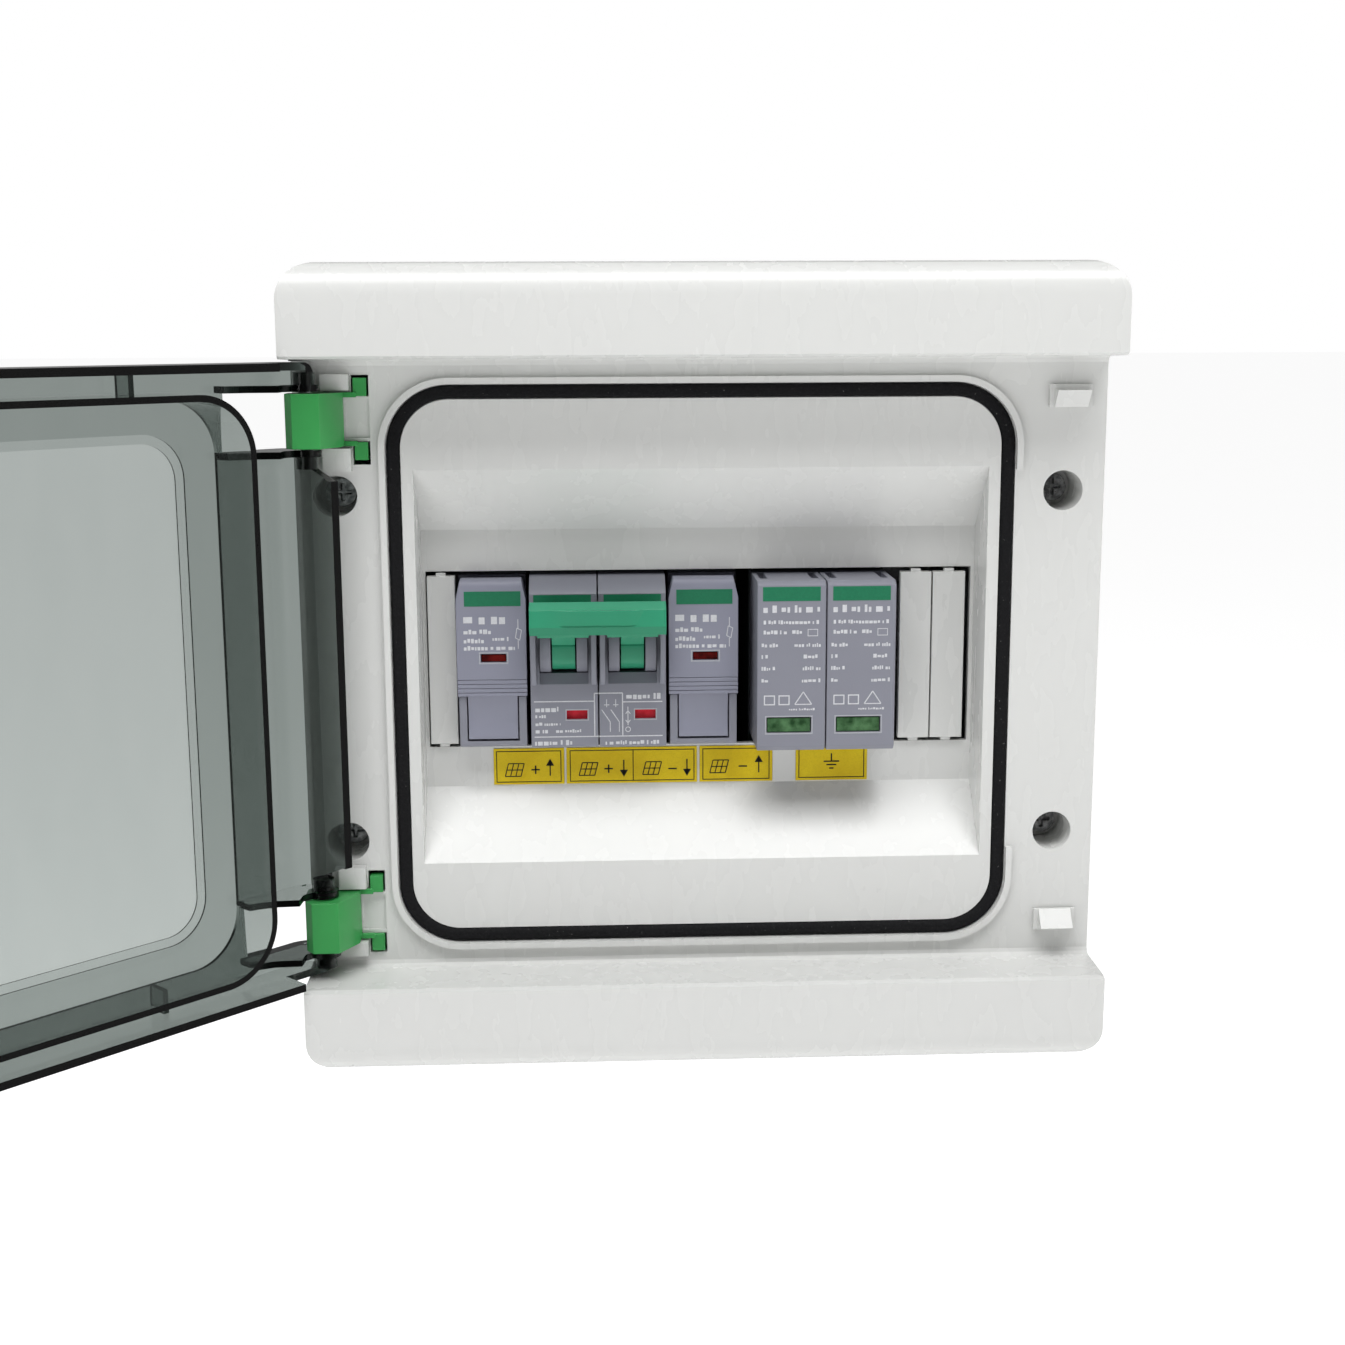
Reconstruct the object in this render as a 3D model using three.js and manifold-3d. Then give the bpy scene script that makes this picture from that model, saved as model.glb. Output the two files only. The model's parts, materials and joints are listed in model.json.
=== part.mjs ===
// DC combiner box: a wall enclosure with a smoked door, holding two fuse holders, a two-pole isolator
// and a two-module surge protector on a rail. Millimetres. +X right, the front faces -Y, +Z up.
// The origin is the centre of the back face, which lies against the wall.
import * as THREE from "three";
import { mergeVertices } from "three/addons/utils/BufferGeometryUtils.js";
import Module from "manifold-3d";

const wasm = await Module();
wasm.setup();

// ---- enclosure ----
const HALF_W = 103;
const HALF_H = 102.3;
const DEPTH = 100;
const WALL = 2.6;
const CORNER_R = 9; // corners of the box seen from the front
const BAR_R = 8; // long outer edges of the hood and the chin
const SPLIT_Y = -46; // parting plane between the back box and the front cover
const FIELD_Y = -81.6; // recessed face between the hood and the chin
const BAR_Z = 79.4; // inner edges of the hood and the chin at the front
const BAR_FOOT_Z = 77.4; // where the hood and the chin meet the recessed face
const GAP = 0.3; // air between neighbouring pieces

// ---- well in the cover and the device window ----
const MASK_Y = -65.8;
const MASK_T = 2.2;
const WELL_X = 73.2;
const WELL_Z = 51.4;
const MASK_Z = 34.5;
const WINDOW_X = 72.25;
const WINDOW_Z = 23.65;

// ---- door seal, lip and cover screws ----
const SEAL_X = 79.9;
const SEAL_Z = 72.7;
const SEAL_W = 3.5;
const SEAL_R = 16;
const LIP_W = 1.7;
const LIP_H = 1.7;
const SCREW_X = 92.4;
const SCREW_Z = 45;
const SCREW_SEAT_Y = -67.3;
const SCREW_WELL_R = 5.1;

// ---- door and its hinges ----
const DOOR_OPEN = 134.2; // degrees from closed, at rest
const AXIS_X = -98.4;
const AXIS_Y = -89.3;
const DOOR_Z = 78.5;
const DOOR_FRONT = -99.8;
const DOOR_T = 2.2;
const DOOR_BACK = -83.2;
const PIN_R = 1.5;
const HINGE_Z = [64.3, -64.3];
const HINGE_H = 13.4;
const HINGE_BLOCK = [
  [-99.6, -81.9],
  [-89.9, -81.9],
  [-90.0, -87.0],
  [-94.2, -94.9],
  [-100.9, -94.9],
  [-102.9, -92.2],
  [-102.9, -86.5],
];

// Pointed plate that carries the pin, in (x, y) with the door closed.
const HINGE_EAR = [
  [-97, -97.8],
  [-78, -97.8],
  [-78, -93.4],
  [-83.4, -91.2],
  [-88.6, -86.6],
  [-93.4, -90.6],
  [-97, -91.6],
];

// ---- rail and modules ----
const RAIL_Y = -13.1; // front of the rail flanges
const RAIL_HALF_L = 79;
const RAIL_SCREW_X = 72;
const MODULE_W = 17.6;
const NOSE_Z = 22.4;
const NOSE_Y = -73.1;
const SHOULDER_Y = -57;
const FUSE_X = [-54.9, 0.6];
const POLE_X = [-36.1, -18.1];
const SPD_X = [22.85, 40.95];
const SPD_FRONT = -82.4;

const COLOUR = {
  housing: 0xdfe0dd,
  seal: 0x16171a,
  door: 0x4f5a58,
  hinge: 0x3f9a52,
  metal: 0xb9bcc0,
  brass: 0xc2a05a,
  device: 0x80828c,
  carrier: 0x85878f,
  lamp: 0x6a1410,
  toggle: 0x2f9c70,
  flag: 0xb3202a,
  status: 0x3c6a42,
  ceramic: 0xe6e2d8,
  label: 0xe3c20a,
  wireRed: 0xb22a22,
  wireBlack: 0x1c1c1f,
  wireEarth: 0x4d9a3a,
  clip: 0x24262a,
};

// ---- solids ----
function toSolid(geometry) {
  const flat = geometry.index ? geometry.toNonIndexed() : geometry.clone();
  flat.deleteAttribute("normal");
  flat.deleteAttribute("uv");
  const merged = mergeVertices(flat, 1e-4);
  return new wasm.Manifold(
    new wasm.Mesh({
      numProp: 3,
      vertProperties: new Float32Array(merged.attributes.position.array),
      triVerts: new Uint32Array(merged.index.array),
    }),
  );
}

function box(x0, x1, y0, y1, z0, z1) {
  const g = new THREE.BoxGeometry(x1 - x0, y1 - y0, z1 - z0);
  g.translate((x0 + x1) / 2, (y0 + y1) / 2, (z0 + z1) / 2);
  return toSolid(g);
}

function shapeOf(points) {
  return new THREE.Shape(points.map(([a, b]) => new THREE.Vector2(a, b)));
}

function extrude(shape, depth, curveSegments = 6) {
  return new THREE.ExtrudeGeometry(shape, { depth, bevelEnabled: false, curveSegments });
}

// Outline in (x, z), running from y0 to y1.
function prismXZ(shape, y0, y1, curveSegments) {
  const g = extrude(shape, y1 - y0, curveSegments);
  g.rotateX(Math.PI / 2);
  g.translate(0, y1, 0);
  return toSolid(g);
}

// Outline in (y, z), running from x0 to x1.
function prismYZ(points, x0, x1) {
  const g = extrude(shapeOf(points), x1 - x0);
  g.applyMatrix4(
    new THREE.Matrix4().makeBasis(
      new THREE.Vector3(0, 1, 0),
      new THREE.Vector3(0, 0, 1),
      new THREE.Vector3(1, 0, 0),
    ),
  );
  g.translate(x0, 0, 0);
  return toSolid(g);
}

// Outline in (x, y), running from z0 to z1.
function prismXY(points, z0, z1) {
  const g = extrude(shapeOf(points), z1 - z0);
  g.translate(0, 0, z0);
  return toSolid(g);
}

function roundedRect(hx, hz, r) {
  const s = new THREE.Shape();
  s.moveTo(-hx + r, -hz);
  s.lineTo(hx - r, -hz);
  s.absarc(hx - r, -hz + r, r, -Math.PI / 2, 0, false);
  s.lineTo(hx, hz - r);
  s.absarc(hx - r, hz - r, r, 0, Math.PI / 2, false);
  s.lineTo(-hx + r, hz);
  s.absarc(-hx + r, hz - r, r, Math.PI / 2, Math.PI, false);
  s.lineTo(-hx, -hz + r);
  s.absarc(-hx + r, -hz + r, r, Math.PI, Math.PI * 1.5, false);
  return s;
}

function slab(hx, hz, r, y0, y1, segments = 5) {
  return prismXZ(roundedRect(hx, hz, r), y0, y1, segments);
}

function ring(hx, hz, r, width, y0, y1, segments = 5) {
  const inner = slab(hx - width, hz - width, r - width, y0 - 1, y1 + 1, segments);
  return slab(hx, hz, r, y0, y1, segments).subtract(inner);
}

function arcPoints(cy, cz, r, from, to, steps) {
  const points = [];
  for (let i = 0; i <= steps; i++) {
    const a = THREE.MathUtils.degToRad(from + ((to - from) * i) / steps);
    points.push([cy + r * Math.cos(a), cz + r * Math.sin(a)]);
  }
  return points;
}

// Cylinder along an axis name, from a to b, centred on the other two coordinates in order.
function rod(axis, r, a, b, u, v, segments = 16) {
  const g = new THREE.CylinderGeometry(r, r, b - a, segments);
  if (axis === "x") {
    g.rotateZ(-Math.PI / 2);
    g.translate((a + b) / 2, u, v);
  } else if (axis === "y") {
    g.translate(u, (a + b) / 2, v);
  } else {
    g.rotateX(Math.PI / 2);
    g.translate(u, v, (a + b) / 2);
  }
  return toSolid(g);
}

function joined(solids) {
  return wasm.Manifold.union(solids);
}

function without(solid, cuts) {
  return solid.subtract(joined(cuts));
}

// ---- group ----
const group = new THREE.Group();

function add(name, solid, colour, roughness = 0.5, metalness = 0, opacity = 1) {
  const m = solid.simplify(0.004).getMesh();
  const n = m.numProp;
  const positions = new Float32Array(m.numVert * 3);
  for (let i = 0; i < m.numVert; i++) {
    positions.set(m.vertProperties.subarray(i * n, i * n + 3), i * 3);
  }
  const indexed = new THREE.BufferGeometry();
  indexed.setAttribute("position", new THREE.BufferAttribute(positions, 3));
  indexed.setIndex(new THREE.BufferAttribute(new Uint32Array(m.triVerts), 1));
  const g = indexed.toNonIndexed();
  g.computeVertexNormals();
  const material = new THREE.MeshStandardMaterial({ color: colour, roughness, metalness });
  material.transparent = opacity < 1;
  material.opacity = opacity;
  const mesh = new THREE.Mesh(g, material);
  mesh.name = name;
  group.add(mesh);
}

const screwSpots = [
  [SCREW_X, SCREW_Z],
  [-SCREW_X, SCREW_Z],
  [-SCREW_X, -SCREW_Z],
  [SCREW_X, -SCREW_Z],
];

// ---- back box ----
function backBox() {
  const shell = slab(HALF_W, HALF_H, CORNER_R, SPLIT_Y, 0).subtract(
    slab(HALF_W - WALL, HALF_H - WALL, CORNER_R - WALL, SPLIT_Y - 1, -WALL),
  );
  const parts = [shell, ring(HALF_W - 2, HALF_H - 2, CORNER_R - 2, 3.4, -44, -41.6)];
  const cuts = [];
  for (const [x, z] of screwSpots) {
    parts.push(rod("y", 5.2, SPLIT_Y, -WALL + 0.5, x, z));
    cuts.push(rod("y", 2.0, SPLIT_Y - 1, -33, x, z, 12));
  }
  for (const x of [-RAIL_SCREW_X, RAIL_SCREW_X]) {
    parts.push(box(x - 5, x + 5, -5.3, -WALL + 0.5, -9, 9));
    cuts.push(rod("y", 1.9, -6, -3.1, x, 0, 12));
  }
  parts.push(box(-35, -29, -9.7, -WALL + 0.5, -76, -68));
  parts.push(box(29, 35, -9.7, -WALL + 0.5, -76, -68));
  for (const x of [-78, 78]) {
    for (const z of [-84, 84]) {
      cuts.push(rod("y", 2.4, -5, 1, x, z, 12));
    }
  }
  for (const side of [-1, 1]) {
    for (const x of [-55, 0, 55]) {
      const z0 = side > 0 ? HALF_H - 0.7 : -HALF_H - 1;
      const z1 = side > 0 ? HALF_H + 1 : -HALF_H + 0.7;
      const outer = rod("z", 10.4, z0, z1, x, -24, 16);
      const inner = rod("z", 9.6, z0 - 1, z1 + 1, x, -24, 16);
      cuts.push(outer.subtract(inner));
    }
  }
  return without(joined(parts), cuts);
}
add("back_box", backBox(), COLOUR.housing, 0.55);
add(
  "cover_seal",
  ring(HALF_W - 2.9, HALF_H - 2.9, CORNER_R - 2.9, 2.1, -46.3, -44.3),
  COLOUR.seal,
  0.9,
);

// ---- front cover ----
function coverProfile(inset, back, barEdge, fieldY, footZ) {
  const front = -DEPTH + inset;
  const top = HALF_H - inset;
  const r = BAR_R - inset;
  const upper = [
    [fieldY, footZ],
    [fieldY - 1.5, footZ + 1.6],
    [front, barEdge],
    ...arcPoints(front + r, top - r, r, 180, 90, 5),
    [back, top],
  ];
  const lower = upper.map(([y, z]) => [y, -z]).reverse();
  return [...lower, ...upper];
}

function frontCover() {
  const back = SPLIT_Y - GAP;
  const outer = slab(HALF_W, HALF_H, CORNER_R, -DEPTH, back).intersect(
    prismYZ(coverProfile(0, back, BAR_Z, FIELD_Y, BAR_FOOT_Z), -HALF_W, HALF_W),
  );
  const hollow = slab(HALF_W - WALL, HALF_H - WALL, CORNER_R - WALL, -DEPTH, back + 1).intersect(
    prismYZ(
      coverProfile(WALL, back + 1, BAR_Z + 2.5, FIELD_Y + 2.4, BAR_FOOT_Z + 2.2),
      -HALF_W,
      HALF_W,
    ),
  );
  const maskBack = MASK_Y + MASK_T;
  const wellOuter = prismYZ(
    [
      [FIELD_Y + 1, -WELL_Z - 3.6],
      [FIELD_Y + 1, WELL_Z + 3.6],
      [maskBack, MASK_Z + 2],
      [maskBack, -MASK_Z - 2],
    ],
    -WELL_X - 2.4,
    WELL_X + 2.4,
  );
  const wellCut = prismYZ(
    [
      [FIELD_Y - 0.6, -WELL_Z - 0.6],
      [FIELD_Y - 0.6, WELL_Z + 0.6],
      [MASK_Y, MASK_Z],
      [MASK_Y, -MASK_Z],
    ],
    -WELL_X,
    WELL_X,
  );
  const parts = [outer.subtract(hollow), wellOuter];
  const cuts = [
    wellCut,
    box(-WINDOW_X, WINDOW_X, MASK_Y - 1, maskBack + 1, -WINDOW_Z, WINDOW_Z),
    ring(SEAL_X, SEAL_Z, SEAL_R, SEAL_W + 0.2, FIELD_Y - 1, FIELD_Y + 1.4),
  ];
  // Lip round the seal, open at the right so that the door's edge can be gripped.
  const lip = ring(
    SEAL_X + LIP_W,
    SEAL_Z + LIP_W,
    SEAL_R + LIP_W,
    LIP_W - 0.1,
    FIELD_Y - LIP_H,
    FIELD_Y + 0.5,
  );
  parts.push(lip.subtract(box(SEAL_X - 4, SEAL_X + 4, FIELD_Y - 4, FIELD_Y, -49, 50.5)));
  // Rib that presses on the seal between the two halves.
  parts.push(ring(HALF_W - 2.4, HALF_H - 2.4, CORNER_R - 2.4, 2.6, -50, -46.6));
  for (const [x, z] of screwSpots) {
    parts.push(rod("y", 6.7, FIELD_Y + 0.5, -46.6, x, z, 16));
    cuts.push(rod("y", SCREW_WELL_R, FIELD_Y - 1, SCREW_SEAT_Y, x, z, 24));
    cuts.push(rod("y", 2.0, SCREW_SEAT_Y - 1, -46, x, z, 12));
  }
  // Hinge seats: a lug above and below each hinge, and a slot for each snap end.
  for (const side of [-1, 1]) {
    for (const [z0, z1] of [[71.5, 75.4], [51.4, 57.1]]) {
      const [a, b] = side > 0 ? [z0, z1] : [-z1, -z0];
      parts.push(box(-95.2, -88.2, FIELD_Y - 3, FIELD_Y + 0.5, a, b));
    }
    for (const [z0, z1] of [[69.9, 75.2], [52.9, 58.7]]) {
      const [a, b] = side > 0 ? [z0, z1] : [-z1, -z0];
      cuts.push(box(-87.9, -83.6, FIELD_Y - 0.4, FIELD_Y + 4, a, b));
    }
    const [r0, r1] = side > 0 ? [59.6, 69.0] : [-69.0, -59.6];
    cuts.push(box(-89.6, -83.6, FIELD_Y - 0.4, FIELD_Y + 0.7, r0, r1));
    const [c0, c1] = side > 0 ? [67.4, 70.4] : [-70.4, -67.4];
    cuts.push(box(89.6, 97.4, FIELD_Y - 0.4, FIELD_Y + 4, c0, c1));
  }
  // Chamfer that clears the door's corner as it opens.
  cuts.push(
    prismXY(
      [
        [-HALF_W - 1, FIELD_Y - 1],
        [-HALF_W + 5.4, FIELD_Y - 1],
        [-HALF_W + 5.4, FIELD_Y],
        [-HALF_W - 1, FIELD_Y + 3],
      ],
      -BAR_FOOT_Z - 1.6,
      BAR_FOOT_Z + 1.6,
    ),
  );
  return without(joined(parts), cuts);
}
add("front_cover", frontCover(), COLOUR.housing, 0.45);
add(
  "door_seal",
  ring(SEAL_X - 0.25, SEAL_Z - 0.25, SEAL_R - 0.25, SEAL_W - 0.3, FIELD_Y - 0.7, FIELD_Y + 1.1),
  COLOUR.seal,
  0.95,
);

// ---- cover screws ----
function coverScrew(x, z) {
  const headY = SCREW_SEAT_Y - GAP;
  const head = rod("y", 3.7, headY - 2.4, headY, x, z, 20);
  const shank = rod("y", 1.65, headY - 0.5, -35, x, z, 10);
  const cross = [
    box(x - 2.2, x + 2.2, headY - 3, headY - 1, z - 0.45, z + 0.45),
    box(x - 0.45, x + 0.45, headY - 3, headY - 1, z - 2.2, z + 2.2),
  ];
  return without(joined([head, shank]), cross);
}
screwSpots.forEach(([x, z], i) => {
  add("cover_screw_" + (i + 1), coverScrew(x, z), COLOUR.metal, 0.35, 1);
});

// ---- door hinges and catches ----
function hingeBlock(zc) {
  const z0 = zc - HINGE_H / 2;
  const z1 = zc + HINGE_H / 2;
  const block = prismXY(HINGE_BLOCK, z0, z1);
  const parts = [block];
  for (const [edge, dir] of [[z1, 1], [z0, -1]]) {
    const armA = dir > 0 ? edge - 1.3 : edge;
    parts.push(box(-92, -86.6, -83.2, -81.9, armA, armA + 1.3));
    const endA = dir > 0 ? edge - 1.0 : edge - 3.5;
    parts.push(box(-87.4, -84.1, -82.6, -79.4, endA, endA + 4.5));
  }
  const bore = rod("z", PIN_R + GAP, z0 - 1, z1 + 1, AXIS_X, AXIS_Y, 12);
  const hollow = box(-98, -91.6, -85.6, -80, z0 + 2, z1 - 2);
  return without(joined(parts), [bore, hollow]);
}
add("hinge_upper", hingeBlock(HINGE_Z[0]), COLOUR.hinge, 0.4);
add("hinge_lower", hingeBlock(HINGE_Z[1]), COLOUR.hinge, 0.4);

function catchHook(side) {
  const wedge = prismYZ(
    [
      [-81.9, 66.2],
      [-81.9, 72.0],
      [-83.0, 72.0],
      [-83.4, 70.6],
      [-86.6, 70.6],
      [-83.2, 66.2],
    ],
    89.2,
    97.8,
  );
  const pad = box(88, 99, -82.8, -81.9, 66.2, 72);
  const foot = box(90, 97, -82.2, -79.4, 67.8, 70);
  const whole = joined([wedge, pad, foot]);
  return side > 0 ? whole : whole.mirror([0, 0, 1]);
}
add("catch_upper", catchHook(1), COLOUR.housing, 0.45);
add("catch_lower", catchHook(-1), COLOUR.housing, 0.45);

// ---- door ----
function doorOutline(inset) {
  const left = -HALF_W + inset;
  const right = HALF_W - inset;
  const front = DOOR_FRONT + inset;
  const rl = 8 - inset;
  const rr = 4 - inset;
  const back = inset ? DOOR_BACK + 1 : DOOR_BACK;
  return [
    [right, back],
    [left, back],
    ...arcPoints(left + rl, front + rl, rl, 180, 270, 6),
    ...arcPoints(right - rr, front + rr, rr, 270, 360, 4),
  ].reverse();
}

function doorClosed() {
  const outer = prismXY(doorOutline(0), -DOOR_Z, DOOR_Z).intersect(
    slab(HALF_W, DOOR_Z, 3, DOOR_FRONT - 1, DOOR_BACK + 1, 3),
  );
  const inner = prismXY(doorOutline(DOOR_T), -DOOR_Z + 2, DOOR_Z - 2);
  const skin = DOOR_FRONT + DOOR_T;
  const parts = [
    outer.subtract(inner),
    ring(SEAL_X - 1, SEAL_Z - 1, SEAL_R - 1, 1.6, skin - 0.2, FIELD_Y - 1.1, 4),
  ];
  const cuts = [];
  // Stepped pane inside the sealing rib, and the finger grip at the free edge.
  cuts.push(slab(68.6, 62.4, 11, skin - 0.5, skin + 0.6, 4));
  cuts.push(slab(66.4, 60.2, 9, skin - 0.9, skin + 0.6, 4));
  cuts.push(box(HALF_W - 1.4, HALF_W + 1, DOOR_FRONT - 1, DOOR_FRONT + 3, -14, 14));
  // Edge cut away round each hinge, with the leaf open between the two ears.
  for (const side of [-1, 1]) {
    const outline = [
      [49.5, DOOR_BACK + 1],
      [49.5, DOOR_BACK - 1],
      [52.5, -91.5],
      [DOOR_Z + 1, -91.5],
      [DOOR_Z + 1, DOOR_BACK + 1],
    ].map(([z, y]) => [y, side * z]);
    if (side > 0) outline.reverse();
    cuts.push(prismYZ(outline, -HALF_W - 1, -87));
    const [h0, h1] = side > 0 ? [57.2, 71.4] : [-71.4, -57.2];
    cuts.push(box(-HALF_W - 1, -80.4, DOOR_FRONT - 1, DOOR_BACK + 1, h0, h1));
  }
  const body = without(joined(parts), cuts);
  const hinged = [body];
  for (const zc of HINGE_Z) {
    const half = HINGE_H / 2 + 0.4;
    for (const dir of [-1, 1]) {
      const near = zc + dir * half;
      const far = near + dir * 1.7;
      const [a, b] = near < far ? [near, far] : [far, near];
      hinged.push(prismXY(HINGE_EAR, a, b));
      hinged.push(rod("z", 3.8, a, b, AXIS_X, AXIS_Y, 14));
      hinged.push(box(-100.6, -92, -96.6, AXIS_Y, a, b));
      const tip = near - dir * 3;
      const [p, q] = tip < far ? [tip, far] : [far, tip];
      hinged.push(rod("z", PIN_R, p, q, AXIS_X, AXIS_Y, 12));
      const stub = far + dir * 3;
      const [s, t] = stub < far ? [stub, near] : [near, stub];
      hinged.push(rod("z", 2.7, s, t, AXIS_X, AXIS_Y, 12));
    }
  }
  // Short ribs between the top and bottom edges and the sealing rib, and two ribs beside the catches.
  for (const side of [-1, 1]) {
    for (const x of [-52, 0, 52]) {
      const [a, b] = side > 0 ? [SEAL_Z - 1.4, DOOR_Z - 1] : [-DOOR_Z + 1, -SEAL_Z + 1.4];
      hinged.push(box(x - 0.7, x + 0.7, skin - 0.2, -92, a, b));
    }
    const [c, d] = side > 0 ? [62.6, 64.2] : [-64.2, -62.6];
    hinged.push(box(90, 99, skin - 0.2, -84.4, c, d));
  }
  return joined(hinged);
}
const doorPose = new THREE.Matrix4()
  .makeTranslation(AXIS_X, AXIS_Y, 0)
  .multiply(new THREE.Matrix4().makeRotationZ(THREE.MathUtils.degToRad(-DOOR_OPEN)))
  .multiply(new THREE.Matrix4().makeTranslation(-AXIS_X, -AXIS_Y, 0));
add("door", doorClosed().transform(doorPose.elements), COLOUR.door, 0.15, 0, 0.55);

// ---- rail ----
function dinRail() {
  const half = [
    [-5.6, 0],
    [-5.6, 13.5],
    [-12.1, 13.5],
    [-12.1, 17.5],
    [RAIL_Y, 17.5],
    [RAIL_Y, 12.5],
    [-6.6, 12.5],
    [-6.6, 0],
  ];
  const upper = half.slice(1, -1);
  const lower = upper.map(([y, z]) => [y, -z]).reverse();
  const rail = prismYZ([...upper, ...lower].reverse(), -RAIL_HALF_L, RAIL_HALF_L);
  const holes = [-RAIL_SCREW_X, RAIL_SCREW_X].map((x) => rod("y", 2.2, -8, -4, x, 0, 14));
  return without(rail, holes);
}
add("din_rail", dinRail(), COLOUR.metal, 0.35, 1);

function railScrew(x) {
  const head = rod("y", 3.6, -9.2, -6.9, x, 0, 18);
  const shank = rod("y", 1.6, -7.4, -3.4, x, 0, 10);
  return without(joined([head, shank]), [box(x - 2.6, x + 2.6, -9.8, -8.2, -0.45, 0.45)]);
}
add("rail_screw_left", railScrew(-RAIL_SCREW_X), COLOUR.metal, 0.35, 1);
add("rail_screw_right", railScrew(RAIL_SCREW_X), COLOUR.metal, 0.35, 1);

// ---- modules on the rail ----
// Side outline of a module: foot and hook on the rail, shoulders with terminals, nose through the window.
function moduleOutline(shoulderZ, noseTop, noseBottom) {
  return [
    [-13.4, -shoulderZ],
    [-13.4, 17.8],
    [-11.8, 17.8],
    [-11.8, 14.8],
    [-9.6, 14.8],
    [-9.6, 22],
    [-13.4, 24],
    [-13.4, shoulderZ],
    [SHOULDER_Y + 3, shoulderZ],
    [SHOULDER_Y, shoulderZ - 3],
    ...noseTop,
    ...noseBottom,
    [SHOULDER_Y, -shoulderZ + 3],
    [SHOULDER_Y + 3, -shoulderZ],
  ];
}

// Terminal details: wire entries above and below, and a slotted clamp screw in a recess on each shoulder.
function terminalCuts(x, shoulderZ, topHoles) {
  const cuts = topHoles.map((dx) => rod("z", 2.4, shoulderZ - 10, shoulderZ + 1, x + dx, -38, 10));
  cuts.push(rod("z", 2.9, -shoulderZ - 1, -shoulderZ + 10, x, -38, 10));
  for (const side of [-1, 1]) {
    const z = side * (shoulderZ - 9);
    const recess = rod("y", 3.4, SHOULDER_Y - 1, SHOULDER_Y + 7, x, z, 12);
    const head = without(rod("y", 2.8, SHOULDER_Y + 3.5, SHOULDER_Y + 8, x, z, 12), [
      box(x - 3, x + 3, SHOULDER_Y + 3, SHOULDER_Y + 4.7, z - 0.5, z + 0.5),
    ]);
    cuts.push(recess.subtract(head));
  }
  return cuts;
}

function clipRails(x, shoulderZ) {
  return [
    box(x - 6.6, x - 5, -13.6, -9.6, -shoulderZ + 3, -20),
    box(x + 5, x + 6.6, -13.6, -9.6, -shoulderZ + 3, -20),
  ];
}

function railClip(x, shoulderZ) {
  const outline = [
    [-11.8, -15.2],
    [-9.8, -15.2],
    [-9.8, -shoulderZ - 2.5],
    [-13.1, -shoulderZ - 2.5],
    [-13.1, -18],
    [-11.8, -18],
  ];
  return without(prismYZ(outline.reverse(), x - 4.6, x + 4.6), [
    box(x - 2, x + 2, -14, -9, -shoulderZ - 1.2, -shoulderZ + 0.8),
  ]);
}

// ---- fuse holders ----
const FUSE_PIVOT = [-68, 15];
const FUSE_SHOULDER = 40;
const CARRIER_X = 6.5;
const LINK_R = 5.15;
const LINK_Y = -58.5;
const LINK_Z = [-17.0, 21.0];
const LAMP = { dx: 0.5, half: 3.35, z0: 0.5, z1: 2.7 };

function fuseBase(x) {
  const outline = moduleOutline(
    FUSE_SHOULDER,
    [
      [SHOULDER_Y, NOSE_Z],
      [-65.9, NOSE_Z],
      [-65.9, -8.9],
    ],
    [
      [-72.2, -8.9],
      [-72.2, -NOSE_Z],
      [SHOULDER_Y, -NOSE_Z],
    ],
  );
  const half = MODULE_W / 2;
  const body = prismYZ(outline.reverse(), x - half, x + half);
  const cuts = [
    box(x - CARRIER_X - 0.35, x + CARRIER_X + 0.35, -73, -52, -20.8, 21.3),
    rod("x", 8.3, x - half - 1, x + half + 1, FUSE_PIVOT[0], FUSE_PIVOT[1], 24),
    ...terminalCuts(x, FUSE_SHOULDER, [-4, 4]),
  ];
  return joined([without(body, cuts), ...clipRails(x, FUSE_SHOULDER)]);
}

function fuseCarrier(x) {
  const head = prismYZ(
    [
      [-66.2, -8.6],
      [-66.2, 22.0],
      [-70.6, 22.2],
      [NOSE_Y, 19.8],
      [NOSE_Y, -8.6],
    ].reverse(),
    x - 9.1,
    x + 9.1,
  );
  const tab = prismYZ(
    [
      [-66, -8],
      [NOSE_Y, -8],
      [-72.5, -10],
      [-71.6, -15],
      [-72.4, -20.2],
      [-66, -19.5],
    ],
    x - CARRIER_X,
    x + CARRIER_X,
  );
  const cradleSide = [
    [-66.4, -20.0],
    [-62.0, -19.8],
    [-56.0, -18.4],
    [-56.0, 21.0],
    [-66.4, 21.0],
  ];
  const cradle = without(prismYZ(cradleSide, x - CARRIER_X, x + CARRIER_X), [
    box(x - LINK_R - 0.3, x + LINK_R + 0.3, -64.1, -52, -17.3, 22),
  ]);
  const cuts = [];
  for (let i = 0; i < 4; i++) {
    const z = -4.2 - 1.15 * i;
    cuts.push(box(x - 10, x + 10, NOSE_Y - 1, NOSE_Y + 0.35, z - 0.28, z + 0.28));
  }
  const lx = x + LAMP.dx;
  cuts.push(
    box(lx - LAMP.half, lx + LAMP.half, NOSE_Y - 1, NOSE_Y + 2, LAMP.z0, LAMP.z1),
  );
  return without(joined([head, tab, cradle]), cuts);
}

function fuseLink(x) {
  const [z0, z1] = LINK_Z;
  return joined([
    rod("z", LINK_R, z0, z0 + 9, x, LINK_Y, 18),
    rod("z", LINK_R - 0.35, z0 + 8, z1 - 8, x, LINK_Y, 18),
    rod("z", LINK_R, z1 - 9, z1, x, LINK_Y, 18),
  ]);
}

function fuseLamp(x) {
  const lx = x + LAMP.dx;
  const h = LAMP.half - 0.15;
  return box(lx - h, lx + h, NOSE_Y + 0.25, NOSE_Y + 1.7, LAMP.z0 + 0.15, LAMP.z1 - 0.15);
}

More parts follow.
